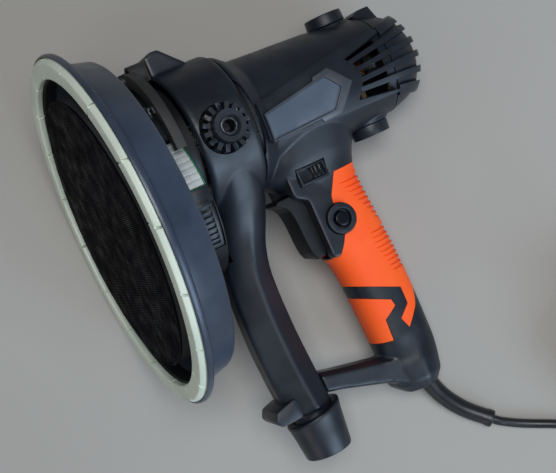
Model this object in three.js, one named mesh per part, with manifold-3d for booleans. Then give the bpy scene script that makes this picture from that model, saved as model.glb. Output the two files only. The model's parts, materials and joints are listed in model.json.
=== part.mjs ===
// Hand-held drywall sander with a round dust shroud, a geared head, a suction duct and a D-handle.
// Millimetres. The tool is built in its own frame and laid on its right side at the end of the file.
// Tool frame: origin on the spindle axis at the sanding face, +X back along the motor, +Z up, +Y right.
import * as THREE from "three";
import { mergeVertices } from "three/addons/utils/BufferGeometryUtils.js";
import Module from "manifold-3d";

const wasm = await Module();
wasm.setup();

// ---------- driving dimensions ----------
const GAP = 0.3; // clearance kept between pieces that touch
const WALL = 3; // moulded wall

// dust shroud and sanding pad, all about the spindle axis
const LIP_R = 114.5; // bumper lip of the shroud
const LIP_X = 7.5; // back edge of the lip
const SHROUD_R = 97; // back edge of the shroud
const SHROUD_BACK = 29;
const RING_R = 112.5; // rubber skirt ring
const RING_IN = 100;
const PAD_R = 87.5;

// motor and gears
const MOTOR_Z = 32; // motor axis above the spindle axis
const MODULE = 1;
const PINION_TEETH = 9;
const GEAR_TEETH = 55; // (9 + 55) / 2 = 32 = MOTOR_Z
const GEAR_X = 66;
const GEAR_W = 10;

// head and duct
const DRUM_R = 48; // head shell about the motor axis
const DRUM_FRONT = 61;
const DRUM_BACK = 98;
const NOSE_R = 31; // hump on the front housing
const NOSE_Z = 45;
const LED_R = 49; // light ring about the spindle axis
const LED_X0 = 41.5;
const LED_X1 = 53.5;
const BRACKET_X = 45;
const BOSS_X = 78.5; // auxiliary-handle bosses
const BOSS_FACE = 60;
const BOSS_R = 9.7;
const TEETH_R = 14.8;
const TUBE_R = 16.5;

// motor housing
const BARREL_FRONT = 99;
const COVER_X = 206; // joint between housing and rear cover
const REAR_X = 232;
const REAR_R = 33;
const SHOULDER = { x: 229, r: 27.4 }; // where the ribs turn onto the rear face
const BRUSH_X = 188.5; // brush caps
const CAP_R = 13;
const CAP_TOP = 42.5; // from the motor axis

// handle
const GRIP_TOP = -26;
const GRIP_END = -142;
const HANDLE_END = -175;
const BUTTON = { x: 135, z: -49 };
const SLIDE = { x: 128.5, z: -15 };

// ---------- colours ----------
const finish = (color, roughness, metalness = 0) =>
  new THREE.MeshStandardMaterial({ color, roughness, metalness });
const BLACK = finish(0x23262b, 0.6);
const SOFT_BLACK = finish(0x1a1c20, 0.75);
const ORANGE = finish(0xff5a22, 0.55);
const PALE_RUBBER = finish(0xc9d6c6, 0.6);
const HOOK = finish(0x0c0d10, 0.95);
const FOAM = finish(0x2c2f33, 0.9);
const STEEL = finish(0x9aa0a8, 0.35, 1);
const DARK_STEEL = finish(0x4a4e55, 0.45, 1);
const ALUMINIUM = finish(0xb9bec4, 0.4, 1);
const COPPER = finish(0xb3683a, 0.4, 1);
const BRASS = finish(0xb8975a, 0.35, 1);
const BOARD = finish(0x1f6b4a, 0.5);
const DIFFUSER = finish(0xdfe3e0, 0.4);
const CARBON = finish(0x303235, 0.7);

// ---------- solids ----------
// A closed three.js geometry as a manifold-3d solid.
function solid(geometry) {
  const bare = geometry.index ? geometry.clone() : geometry;
  for (const name of Object.keys(bare.attributes)) if (name !== "position") bare.deleteAttribute(name);
  const merged = mergeVertices(bare, 1e-4);
  const kept = [];
  const index = merged.index.array;
  for (let i = 0; i < index.length; i += 3) {
    const [a, b, c] = [index[i], index[i + 1], index[i + 2]];
    if (a !== b && b !== c && c !== a) kept.push(a, b, c);
  }
  const mesh = new wasm.Mesh({
    numProp: 3,
    vertProperties: new Float32Array(merged.attributes.position.array),
    triVerts: new Uint32Array(kept),
  });
  return new wasm.Manifold(mesh);
}

// A block from its lowest to its highest corner.
function block([x0, y0, z0], [x1, y1, z1]) {
  const box = new THREE.BoxGeometry(x1 - x0, y1 - y0, z1 - z0);
  return solid(box.translate((x0 + x1) / 2, (y0 + y1) / 2, (z0 + z1) / 2));
}

// A solid of revolution about the X axis from a closed profile of [x, radius], lifted to height z.
function turned(profile, sides = 28, z = 0) {
  const points = profile.map(([x, r]) => new THREE.Vector2(r, x));
  points.push(points[0].clone());
  const lathe = new THREE.LatheGeometry(points, sides, Math.PI / 2, 2 * Math.PI);
  lathe.rotateZ(-Math.PI / 2); // the lathe's axis onto +X
  const made = solid(lathe.translate(0, 0, z));
  return made.volume() < 0 ? flipped(lathe) : made;
}

// The same geometry with its faces turned round.
function flipped(geometry) {
  const index = geometry.index.array;
  for (let i = 0; i < index.length; i += 3) [index[i + 1], index[i + 2]] = [index[i + 2], index[i + 1]];
  return solid(geometry);
}

// A tube or disc along X.
const pipe = (x0, x1, outer, inner = 0, sides = 28, z = 0) =>
  turned([[x0, inner], [x0, outer], [x1, outer], [x1, inner]], sides, z);

// A round rod between two points.
function rod(from, to, radius, sides = 16, endRadius = radius) {
  const a = new THREE.Vector3(...from);
  const b = new THREE.Vector3(...to);
  const cylinder = new THREE.CylinderGeometry(endRadius, radius, a.distanceTo(b), sides);
  const along = b.clone().sub(a).normalize();
  const turn = new THREE.Quaternion().setFromUnitVectors(new THREE.Vector3(0, 1, 0), along);
  return solid(cylinder.applyQuaternion(turn).translate(...a.add(b).multiplyScalar(0.5).toArray()));
}

// A flat outline of [x, z] points with thickness along Y.
function plate(outline, y0, y1) {
  const shape = new THREE.Shape(outline.map(([x, z]) => new THREE.Vector2(x, z)));
  const slab = new THREE.ExtrudeGeometry(shape, { depth: y1 - y0, bevelEnabled: false });
  slab.rotateX(Math.PI / 2).translate(0, y1, 0);
  return solid(slab);
}

// A flat outline of [y, z] points with thickness along X.
function disc(outline, x0, x1) {
  const shape = new THREE.Shape(outline.map(([y, z]) => new THREE.Vector2(y, z)));
  const slab = new THREE.ExtrudeGeometry(shape, { depth: x1 - x0, bevelEnabled: false });
  slab.applyMatrix4(new THREE.Matrix4().set(0, 0, 1, x0, 1, 0, 0, 0, 0, 1, 0, 0, 0, 0, 0, 1));
  return solid(slab);
}

// A skin over rings of equal length, closed at both ends.
function loft(rings) {
  const sides = rings[0].length;
  const corners = rings.flat().concat([centre(rings[0]), centre(rings.at(-1))]);
  const first = corners.length - 2;
  const index = [];
  for (let r = 0; r + 1 < rings.length; r++)
    for (let i = 0; i < sides; i++) {
      const [a, b] = [r * sides + i, r * sides + ((i + 1) % sides)];
      index.push(a, b, b + sides, a, b + sides, a + sides);
    }
  const last = (rings.length - 1) * sides;
  for (let i = 0; i < sides; i++) {
    const next = (i + 1) % sides;
    index.push(first, next, i, first + 1, last + i, last + next);
  }
  const skin = new THREE.BufferGeometry();
  skin.setAttribute("position", new THREE.BufferAttribute(new Float32Array(corners.flat()), 3));
  skin.setIndex(index);
  const made = solid(skin);
  return made.volume() < 0 ? flipped(skin) : made;
}
const centre = (ring) => [0, 1, 2].map((k) => ring.reduce((sum, p) => sum + p[k], 0) / ring.length);

// A level ring with rounded corners: x from `front` to `back`, half width `half` in y. Power 2 is an ellipse.
function levelRing(z, front, back, half, power = 2.6, sides = 16) {
  const middle = (front + back) / 2;
  const reach = (back - front) / 2;
  return Array.from({ length: sides }, (_, i) => {
    const turn = ((i + 0.5) / sides) * 2 * Math.PI;
    const [c, s] = [Math.cos(turn), Math.sin(turn)];
    const bend = (v) => Math.sign(v) * Math.abs(v) ** (2 / power);
    return [middle + reach * bend(c), half * bend(s), z];
  });
}

const join = (...solids) => solids.reduce((all, s) => all.add(s));
const cut = (base, ...tools) => tools.reduce((left, tool) => left.subtract(tool), base);
const FAR = 400;
const leftSide = (s) => cut(s, block([-FAR, -GAP / 2, -FAR], [FAR, FAR, FAR]));
const rightSide = (s) => cut(s, block([-FAR, -FAR, -FAR], [FAR, GAP / 2, FAR]));

// Copies of a solid turned about an X-parallel axis at height z.
function around(count, make, z = 0, start = 0, sweep = 360) {
  return Array.from({ length: count }, (_, i) =>
    make(i).translate([0, 0, -z]).rotate([start + (sweep * i) / count, 0, 0]).translate([0, 0, z]),
  );
}

// ---------- the scene ----------
const tool = new THREE.Group(); // pieces in the tool's own frame
const lead = new THREE.Group(); // the mains lead, in the frame of the surface that the tool lies on
function add(name, made, material, group = tool) {
  const { vertProperties, triVerts } = made.getMesh();
  const geometry = new THREE.BufferGeometry();
  geometry.setAttribute("position", new THREE.BufferAttribute(vertProperties, 3));
  geometry.setIndex(new THREE.BufferAttribute(triVerts, 1));
  geometry.computeVertexNormals();
  const mesh = new THREE.Mesh(geometry, material);
  mesh.name = name;
  group.add(mesh);
}

// ---------- gears ----------
// A spur gear outline in the YZ plane with involute flanks, thinned for backlash.
function gearOutline(teeth, phase, steps = 4) {
  const pitch = (teeth * MODULE) / 2;
  const base = pitch * Math.cos((20 * Math.PI) / 180);
  const tip = pitch + 0.85 * MODULE;
  const root = pitch - 1.15 * MODULE;
  const start = Math.max(base, root);
  const spread = (r) => Math.sqrt(Math.max(0, (r / base) ** 2 - 1));
  const involute = (r) => spread(r) - Math.atan(spread(r));
  const backlash = 0.22;
  const halfTooth = Math.PI / (2 * teeth) - backlash / pitch / 2 + involute(pitch);
  const foot = 0.1 / root;
  const outline = [];
  for (let t = 0; t < teeth; t++) {
    const mid = phase + (2 * Math.PI * t) / teeth;
    const at = (r, turn) => outline.push([r * Math.cos(mid + turn), r * Math.sin(mid + turn)]);
    at(root, -halfTooth - foot);
    for (let i = 0; i <= steps; i++) {
      const r = start + ((tip - start) * i) / steps;
      at(r, -halfTooth + involute(r));
    }
    for (let i = steps; i >= 0; i--) {
      const r = start + ((tip - start) * i) / steps;
      at(r, halfTooth - involute(r));
    }
    at(root, halfTooth + foot);
  }
  return outline;
}

function gears() {
  const up = Math.PI / 2;
  const wheel = disc(gearOutline(GEAR_TEETH, up, 1), GEAR_X, GEAR_X + GEAR_W);
  add("spindle_gear", cut(wheel, pipe(GEAR_X - 1, GEAR_X + GEAR_W + 1, 9 + GAP, 0, 20)), DARK_STEEL);
  const toothGap = -up + Math.PI / PINION_TEETH;
  const pinion = disc(gearOutline(PINION_TEETH, toothGap, 3), GEAR_X - 1, GEAR_X + GEAR_W + 1);
  const bore = pipe(GEAR_X - 2, GEAR_X + GEAR_W + 2, 1.9 + GAP, 0, 10);
  add("pinion", cut(pinion, bore).translate([0, 0, MOTOR_Z]), STEEL);
}

// ---------- sanding pad and spindle ----------
function pad() {
  add("hook_pad", pipe(0, 1.8, PAD_R, 0, 40), HOOK);
  add("foam_pad", pipe(1.8 + GAP, 11, PAD_R - 1, 12, 32), FOAM);
  const plateProfile = [
    [11 + GAP, 5.2],
    [11 + GAP, PAD_R - 4],
    [13, PAD_R - 4],
    [17, 30],
    [22, 16],
    [22, 5.2],
  ];
  add("backing_plate", turned(plateProfile, 32), BLACK);
  const screw = [
    [3, 0],
    [3, 9],
    [10.8, 9],
    [10.8, 4.6],
    [26, 4.6],
    [26, 0],
  ];
  add("pad_screw", turned(screw, 12), STEEL);
}

const SPINDLE_END = 90;
function spindle() {
  const profile = [
    [22 + GAP, 5.2],
    [22 + GAP, 13],
    [27, 13],
    [27, 9.5],
    [34, 9.5],
    [34, 9],
    [SPINDLE_END - 14, 9],
    [SPINDLE_END - 14, 7],
    [SPINDLE_END, 7],
    [SPINDLE_END, 0],
    [28, 0],
    [28, 5.2],
  ];
  add("spindle", turned(profile, 16), STEEL);
  add("spindle_front_bearing", pipe(40, 50, 17.5, 9 + GAP, 20), STEEL);
  add("spindle_rear_bearing", pipe(79, 88, 14, 7 + GAP, 18), STEEL);
}

// ---------- dust shroud ----------
function shroud() {
  const profile = [
    [3.6, RING_R + 0.4],
    [3.6, LIP_R],
    [LIP_X, LIP_R],
    [8.5, 110.5],
    [20, 105.5],
    [SHROUD_BACK, SHROUD_R],
    [SHROUD_BACK, LED_R + 5],
    [SHROUD_BACK + 2, LED_R + 4],
    [SHROUD_BACK + 2, LED_R + 1],
    [SHROUD_BACK - 2.5, LED_R + 1],
    [SHROUD_BACK - 2.5, 93],
    [14, 102.5],
    [14, 107],
    [8.4, RING_R + 0.4],
  ];
  add("shroud", turned(profile, 36), BLACK);
  // The rubber ring is cut into lengths by narrow slots on its inner edge.
  const ringProfile = [
    [0, RING_IN],
    [0, RING_R - 3],
    [3, RING_R],
    [8, RING_R],
    [13.5, 106.5],
    [13.5, RING_IN],
  ];
  const ring = turned(ringProfile, 40);
  const slots = around(18, () => block([-1, -0.8, RING_IN - 2], [7, 0.8, RING_IN + 4.5]), 0, 10);
  add("skirt_ring", cut(ring, ...slots), PALE_RUBBER);
}

// A compression spring along +X.
function spring(x0, x1, y, z, radius, turns, wire) {
  const steps = Math.round(turns * 7);
  const points = Array.from({ length: steps + 1 }, (_, i) => {
    const turn = (i / 7) * 2 * Math.PI;
    const x = x0 + ((x1 - x0) * i) / steps;
    return new THREE.Vector3(x, y + radius * Math.cos(turn), z + radius * Math.sin(turn));
  });
  const section = new THREE.Shape(
    Array.from({ length: 4 }, (_, i) => {
      const turn = (i / 4) * 2 * Math.PI;
      return new THREE.Vector2(wire * Math.cos(turn), wire * Math.sin(turn));
    }),
  );
  const path = new THREE.CatmullRomCurve3(points);
  return solid(new THREE.ExtrudeGeometry(section, { steps, bevelEnabled: false, extrudePath: path }));
}

// ---------- head ----------
// A piece of a ring about the spindle axis. Angles count up from the tool's left side.
function arc(x0, x1, inner, outer, from, to, steps) {
  const at = (r, degrees) => {
    const turn = (degrees * Math.PI) / 180;
    return [-r * Math.cos(turn), r * Math.sin(turn)];
  };
  const angle = (i) => from + ((to - from) * i) / steps;
  const outside = Array.from({ length: steps + 1 }, (_, i) => at(outer, angle(i)));
  const inside = Array.from({ length: steps + 1 }, (_, i) => at(inner, angle(steps - i)));
  return disc([...outside, ...inside], x0, x1);
}

// Front housing: the light ring about the spindle, a hump above it and the plate that closes the gear room.
const MOUTH = { half: 13, low: -45, high: -30 }; // duct mouth through the plate
function noseHousing() {
  const ring = pipe(SHROUD_BACK - 4, 54.5, LED_R, 0, 36);
  const hump = pipe(37, 58, NOSE_R, 0, 28, NOSE_Z);
  const backPlate = join(pipe(54, 60.5, DRUM_R - WALL - 0.5, 0, 32, MOTOR_Z), pipe(54, 58, 30, 0));
  const plenum = pipe(SHROUD_BACK - 5, 50, LED_R - WALL, 0, 32);
  const humpRoom = cut(pipe(40, 50, NOSE_R - WALL, 0, 24, NOSE_Z), pipe(20, 55, LED_R - 5, 0, 28));
  const seat = pipe(38, 54, 21, 0, 20);
  const bearingBore = pipe(30, 63, 17.5 + GAP, 0, 20);
  const mouth = block([49, -MOUTH.half, MOUTH.low], [63, MOUTH.half, MOUTH.high]);
  const ringSeats = [1, -1].map((side) =>
    arc(LED_X0 - GAP, LED_X1 + GAP, LED_R - 1.8, LED_R + 6, side > 0 ? -40 : 132, side > 0 ? 48 : 220, 9),
  );
  const boardSeat = arc(LED_X0 - GAP, LED_X1 + GAP, LED_R - 1.8, LED_R - 0.2, 5, 175, 12);
  const shell = cut(join(ring, hump, backPlate), plenum, humpRoom, boardSeat);
  add("nose_housing", cut(join(shell, seat), mouth, bearingBore, ...ringSeats), BLACK);
}

// Light strip on each side of the ring: a board with a clear cover, and a louvred vent below it.
const SIDES = [
  ["left", (s) => s],
  ["right", (s) => s.mirror([0, 1, 0])],
];
function lights() {
  add("led_board", arc(LED_X0, LED_X1, LED_R - 1.5, LED_R - 0.6, 7, 173, 12), BOARD);
  const cover = arc(LED_X0, LED_X1, LED_R - 0.2, LED_R + 1.6, 7, 46.5, 10);
  const ventBody = arc(LED_X0, LED_X1 - 3, LED_R - 1.4, LED_R + 5, -34, -3, 6);
  const louvres = Array.from({ length: 6 }, (_, i) =>
    arc(LED_X0 + 1, LED_X1 - 5, LED_R + 2, LED_R + 7, -30.5 + i * 4, -28.2 + i * 4, 1),
  );
  const cap = arc(LED_X0, LED_X1, LED_R - 1.4, LED_R + 2.4, -3.2, 6.4, 4);
  for (const [side, place] of SIDES) {
    add(`led_cover_${side}`, place(cover), DIFFUSER);
    add(`side_vent_${side}`, place(cut(join(ventBody, cap), ...louvres)), BLACK);
  }
}

// Curved bracket in front of the head. The shroud's springs push against it.
const BOW = { inner: 46, outer: 55, thick: 6, eyeY: -9, eyeZ: 83, eyeR: 6.5 };
function bracket() {
  const bow = pipe(BRACKET_X, BRACKET_X + BOW.thick, BOW.outer, BOW.inner, 32, MOTOR_Z);
  const lower = block([40, -70, -40], [60, 70, MOTOR_Z]);
  const eye = rod([BRACKET_X + 4, BOW.eyeY, BOW.eyeZ], [BRACKET_X + 13, BOW.eyeY, BOW.eyeZ], BOW.eyeR, 18);
  const eyeHole = rod([BRACKET_X - 1, BOW.eyeY, BOW.eyeZ], [BRACKET_X + 10, BOW.eyeY, BOW.eyeZ], 3, 12);
  const strap = block([BRACKET_X + 5, -12, 77], [DRUM_FRONT - GAP, 12, 86]);
  add("shroud_bracket", cut(join(cut(bow, lower), eye, strap), eyeHole), BLACK);
}

function shroudSprings() {
  const from = SHROUD_BACK + 2.2;
  const to = BRACKET_X - 1.2;
  for (const [side, y] of [["left", -44], ["right", 44]])
    add(`shroud_spring_${side}`, spring(from, to, y, MOTOR_Z + 25, 3.4, 4.5, 0.6), STEEL);
}

// Head shell and suction duct: one casing, split down the middle.
const TUBE_POWER = 2.8;
const TUBE = [
  // z, front, back, half width
  [24, DRUM_FRONT + 1, DRUM_BACK, 46.5],
  [0, DRUM_FRONT, DRUM_BACK, 38],
  [-16, DRUM_FRONT - 1, DRUM_BACK - 0.5, 30],
  [-30, 58, 93, 23],
  [-45, 55.8, 87, 19],
  [-62, 53, 83.5, 17.3],
  [-95, 51, 82.8, TUBE_R],
  [-130, 52, 84.4, TUBE_R],
  [-152, 54.5, 86, TUBE_R],
];
const tubeLoft = (inset, low = -FAR, high = FAR) =>
  loft(
    TUBE.filter(([z]) => z >= low && z <= high).map(([z, front, back, half]) =>
      levelRing(z, front + inset, back - inset, half - inset, TUBE_POWER),
    ),
  );

const SPIGOT = { x: 72.5, r: 13.6, end: -168 }; // the tube's end, inside the hose collar
function headShell() {
  const drumProfile = [
    [DRUM_FRONT, 0],
    [DRUM_FRONT, DRUM_R - 1.5],
    [DRUM_FRONT + 3, DRUM_R],
    [DRUM_BACK - 1.5, DRUM_R],
    [DRUM_BACK, DRUM_R - 1.5],
    [DRUM_BACK, 0],
  ];
  const earOutline = [
    [DRUM_FRONT, 76],
    [DRUM_FRONT, 90],
    [66, 92.5],
    [71, 92],
    [84, 79.5],
    [84, 76],
  ];
  const hookOutline = [
    [62, -138.5],
    [47.5, -142],
    [44.5, -146],
    [46, -150],
    [49.5, -151.9],
    [62, -151.9],
  ];
  const ear = plate(earOutline, -14, 14);
  const hook = plate(hookOutline, -15, 15);
  const spigot = rod([SPIGOT.x, 0, -150], [SPIGOT.x, 0, SPIGOT.end], SPIGOT.r, 18);
  const outer = join(turned(drumProfile, 36, MOTOR_Z), tubeLoft(0), ear, hook, spigot);

  const gearRoom = join(pipe(DRUM_FRONT - 1, DRUM_BACK + 1, DRUM_R - WALL, 0, 32, MOTOR_Z), gearRoomLow());
  const outlet = rod([SPIGOT.x, 0, -146], [SPIGOT.x, 0, -170], SPIGOT.r - 2, 14);
  const duct = join(tubeLoft(WALL, -152, -40), outlet);
  const ductTop = block([50, -MOUTH.half, MOUTH.low], [76, MOUTH.half, -33]);
  const bossHoles = [-1, 1].map((side) =>
    rod([BOSS_X, side * 30, MOTOR_Z], [BOSS_X, side * 70, MOTOR_Z], TEETH_R + 2 * GAP, 24),
  );
  // Cooling slots behind the drum, one to a side.
  const slotRing = pipe(DRUM_BACK - 3.2, DRUM_BACK + 1, DRUM_R + 2, DRUM_R - 6, 28, MOTOR_Z);
  const slots = slotRing.intersect(block([80, -60, MOTOR_Z - 23], [110, 60, MOTOR_Z + 23]));
  const shell = cut(outer, gearRoom, duct, ductTop, ...bossHoles, slots);
  add("head_shell_left", leftSide(shell), BLACK);
  add("head_shell_right", rightSide(shell), BLACK);
}

// The gear room's lower half, under the spindle.
function gearRoomLow() {
  const rings = TUBE.slice(0, 4).map(([z, front, back, half]) =>
    levelRing(Math.max(z, -29.5), front - 4, back - WALL, half - WALL, TUBE_POWER),
  );
  return loft(rings);
}

// Plate between the gears and the motor, with a seat for each rear bearing.
const COVER_PLATE = 88.3;
function gearCover() {
  const plateDisc = pipe(COVER_PLATE, COVER_PLATE + 4, DRUM_R - WALL - GAP, 0, 28, MOTOR_Z);
  const spindleSeat = pipe(79.5, COVER_PLATE + 1, 17, 14 + GAP, 18);
  const motorSeat = pipe(79.5, COVER_PLATE + 1, 14.2, 11 + GAP, 16, MOTOR_Z);
  const spindleRecess = pipe(70, COVER_PLATE + 2, 14 + GAP, 0, 18);
  const shaftHole = pipe(70, 100, 4.6, 0, 12, MOTOR_Z);
  const whole = join(plateDisc, spindleSeat, motorSeat);
  add("gear_cover", cut(whole, spindleRecess, shaftHole), ALUMINIUM);
}

// Threaded bosses for the auxiliary handle, with a ring of square teeth that locks its angle.
const BOSS_TEETH = 16;
function sideBosses() {
  const inner = -(DRUM_R - WALL + 0.2);
  const base = rod([BOSS_X, inner, MOTOR_Z], [BOSS_X, -50, MOTOR_Z], 12.4, 16);
  const neck = rod([BOSS_X, inner, MOTOR_Z], [BOSS_X, -BOSS_FACE, MOTOR_Z], BOSS_R, 20);
  const teeth = Array.from({ length: BOSS_TEETH }, (_, i) =>
    block([11.6, -50, -1.7], [TEETH_R, inner, 1.7])
      .rotate([0, (360 * i) / BOSS_TEETH, 0])
      .translate([BOSS_X, 0, MOTOR_Z]),
  );
  const bore = rod([BOSS_X, -40, MOTOR_Z], [BOSS_X, -62, MOTOR_Z], 5.6, 14);
  const boss = cut(join(base, neck, ...teeth), bore);
  const tapped = rod([BOSS_X, inner, MOTOR_Z], [BOSS_X, -BOSS_FACE + 0.6, MOTOR_Z], 5.3, 14);
  const insert = cut(tapped, rod([BOSS_X, -48, MOTOR_Z], [BOSS_X, -62, MOTOR_Z], 3.9, 12));
  for (const [side, place] of SIDES) {
    add(`side_boss_${side}`, place(boss), BLACK);
    add(`handle_insert_${side}`, place(insert), STEEL);
  }
}

// Bayonet collar for the vacuum hose, turned on the tube's end.
const COLLAR = { top: -152.6, bottom: -183, wide: 18.4, rim: 19, narrow: 15.6, bore: 13.6 + GAP };
function hoseCollar() {
  const drop = (z) => -z; // the profile is turned about +X, then stood up
  const profile = [
    [drop(COLLAR.top), COLLAR.bore],
    [drop(COLLAR.top), COLLAR.rim],
    [drop(COLLAR.top) + 2, COLLAR.rim],
    [drop(COLLAR.top) + 3, COLLAR.wide],
    [drop(COLLAR.bottom), COLLAR.narrow],
    [drop(COLLAR.bottom), COLLAR.narrow - 2.2],
    [drop(COLLAR.top) + 14, COLLAR.bore],
  ];
  add("hose_collar", turned(profile, 24).rotate([0, 90, 0]).translate([SPIGOT.x, 0, 0]), BLACK);
}

// ---------- motor housing and handle ----------
const HANDLE_POWER = 2.4; // how square the handle's section is
const HANDLE = [
  // z, front, back, half width
  [12, BARREL_FRONT + 0.3, 178, 31],
  [-6, BARREL_FRONT + 0.3, 171, 27],
  [-12, 101, 168, 24.6],
  [-17, 107.5, 166, 23],
  [-24, 115, 164, 21.6],
  [-66, 120, 167.5, 19.4],
  [-76, 124.5, 168.5, 18.6],
  [-95, 127, 169.5, 18],
  [-142, 129, 169.6, 18],
  [-156, 127.5, 168, 18.6],
  [-168, 130, 165.5, 18],
  [HANDLE_END, 138, 160.5, 13],
];
function handleLoft(inset, endInset = inset) {
  const last = HANDLE.length - 1;
  return loft(
    HANDLE.map(([z, front, back, half], i) =>
      levelRing(i === last ? z + endInset : z, front + inset, back - inset, half - inset, HANDLE_POWER),
    ),
  );
}

const GRIP_SKIN = 1.6;
const GRIP_OUTLINE = [
  [150, GRIP_TOP],
  [190, GRIP_TOP - 2],
  [190, GRIP_END + 6],
  [146, GRIP_END],
  [110, GRIP_END],
  [110, -76],
  [127, -72],
  [133, -61],
  [147, -52],
  [147, -46],
  [134.5, -38],
  [135.5, -33],
];
const TRIGGER_SLOT = [[104, -10.7, -71], [130, 10.7, -22.3]];
const TRIGGER_PIVOT = { x: 123, z: -28 };

function barrelProfile(inset, front, back) {
  return [
    [front, 0],
    [front, 45.5 - inset],
    [BARREL_FRONT + 3, 45 - inset],
    [111, 38.6 - inset],
    [165, 36.7 - inset],
    [back, REAR_R + 0.2 - inset],
    [back, 0],
  ];
}

// Ribs fan out over both sides of the barrel and wrap round the rear cover. Each line holds x and z at its
// front end, z at FAN_END and the rib's width. The wide first and last ribs are on the cover only.
const FAN_END = 228;
const FAN = [
  [169.5, 42.2, 54.5, 6],
  [174.6, 38.4, 46.6, 2.4],
  [178.2, 32.6, 37.1, 2.4],
  [179, 25.6, 27.5, 2.4],
  [176.4, 20.1, 17.7, 2.4],
  [170.2, 14.1, 7.5, 6],
];
const VENT_END = 200;
const fanZ = ([x0, z0, z1], x) => z0 + ((x - x0) * (z1 - z0)) / (FAN_END - x0);

function fanRibs(lines, profile) {
  const plates = lines.map((line) => {
    const [front, , , width] = line;
    const back = REAR_X + 4;
    const outline = [
      [front, fanZ(line, front) - width / 2],
      [back, fanZ(line, back) - width / 2],
      [back, fanZ(line, back) + width / 2],
      [front, fanZ(line, front) + width / 2],
    ];
    return plate(outline, -60, 60);
  });
  return turned(profile, 30, MOTOR_Z).intersect(join(...plates));
}

// Vents through both sides of the barrel, between the ribs.
function barrelVents() {
  return FAN.slice(1).map((low, i) => {
    const high = FAN[i];
    const front = Math.max(high[0], low[0]) + 1;
    const outline = [
      [front, fanZ(low, front) + 1.2],
      [VENT_END, fanZ(low, VENT_END) + 1.2],
      [VENT_END, fanZ(high, VENT_END) - 1.2],
      [front, fanZ(high, front) - 1.2],
    ];
    return join(plate(outline, 20, 60), plate(outline, -60, -20));
  });
}

function motorHousing() {
  const barrel = turned(barrelProfile(0, BARREL_FRONT, COVER_X), 32, MOTOR_Z);
  const arm = plate([[86.6, -134], [131, -146], [131, -163], [86.6, -148.2]], -11, 11);
  const brushBosses = rod([BRUSH_X, 0, MOTOR_Z - 34.8], [BRUSH_X, 0, MOTOR_Z + 34.8], CAP_R + 0.6, 20);
  const capSeats = [-1, 1].map((side) =>
    rod([BRUSH_X, 0, MOTOR_Z + side * 34.8], [BRUSH_X, 0, MOTOR_Z + side * 50], CAP_R + 2 * GAP, 20),
  );
  const ribProfile = [
    [169, 0],
    [169, 37],
    [COVER_X, REAR_R + 2],
    [COVER_X, 0],
  ];
  const ribs = fanRibs(FAN.slice(1, -1), ribProfile);
  const outer = cut(join(barrel, ribs, handleLoft(0), arm, brushBosses), ...capSeats);

  const room = turned(barrelProfile(WALL, BARREL_FRONT - 1, COVER_X + 1), 28, MOTOR_Z);
  const handleRoom = handleLoft(WALL + 1, WALL);
  const armRoom = plate([[89, -137.4], [134, -149.5], [134, -159.5], [89, -145]], -8, 8);
  const capBores = rod([BRUSH_X, 0, MOTOR_Z - 50], [BRUSH_X, 0, MOTOR_Z + 50], 8 + GAP, 14);
  const gripRoom = cut(plate(grown(GRIP_OUTLINE), -60, 60), handleLoft(GRIP_SKIN + GAP));
  const buttonHole = rod([BUTTON.x, -40, BUTTON.z], [BUTTON.x, -14, BUTTON.z], 10.1 + GAP, 24);
  const slideHole = block([SLIDE.x - 10.4, -40, SLIDE.z - 5.9], [SLIDE.x + 10.4, -16, SLIDE.z + 5.9]);
  const cordHole = rod([151.9, 0, -160], [157.6, 0, -186], 6.9, 16);
  const { x, z } = TRIGGER_PIVOT;
  const pivotHole = rod([x, -13.9, z], [x, 13.9, z], 2.5, 12);
  const shell = cut(
    outer, room, handleRoom, armRoom, capBores, gripRoom, buttonHole, slideHole, cordHole,
    pivotHole, block(...TRIGGER_SLOT), ...barrelVents(),
  );
  add("motor_housing_left", leftSide(shell), BLACK);
  add("motor_housing_right", rightSide(shell), BLACK);

  const skin = cut(handleLoft(0), handleLoft(GRIP_SKIN)).intersect(plate(GRIP_OUTLINE, -60, 60));
  const clear = rod([BUTTON.x, -40, BUTTON.z], [BUTTON.x, -12, BUTTON.z], 10.1 + GAP, 24);
  add("grip_left", cut(leftSide(skin), clear), ORANGE);
  add("grip_right", rightSide(skin), ORANGE);
}

// An outline pushed outwards by the working gap, with mitred corners. It runs clockwise seen from the left.
function grown(outline) {
  const count = outline.length;
  const normal = ([x0, z0], [x1, z1]) => {
    const length = Math.hypot(x1 - x0, z1 - z0);
    return [-(z1 - z0) / length, (x1 - x0) / length];
  };
  return outline.map(([x, z], i) => {
    const [ax, az] = normal(outline[(i + count - 1) % count], [x, z]);
    const [bx, bz] = normal([x, z], outline[(i + 1) % count]);
    const scale = (GAP * 1.2) / (1 + ax * bx + az * bz);
    return [x + (ax + bx) * scale, z + (az + bz) * scale];
  });
}

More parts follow.
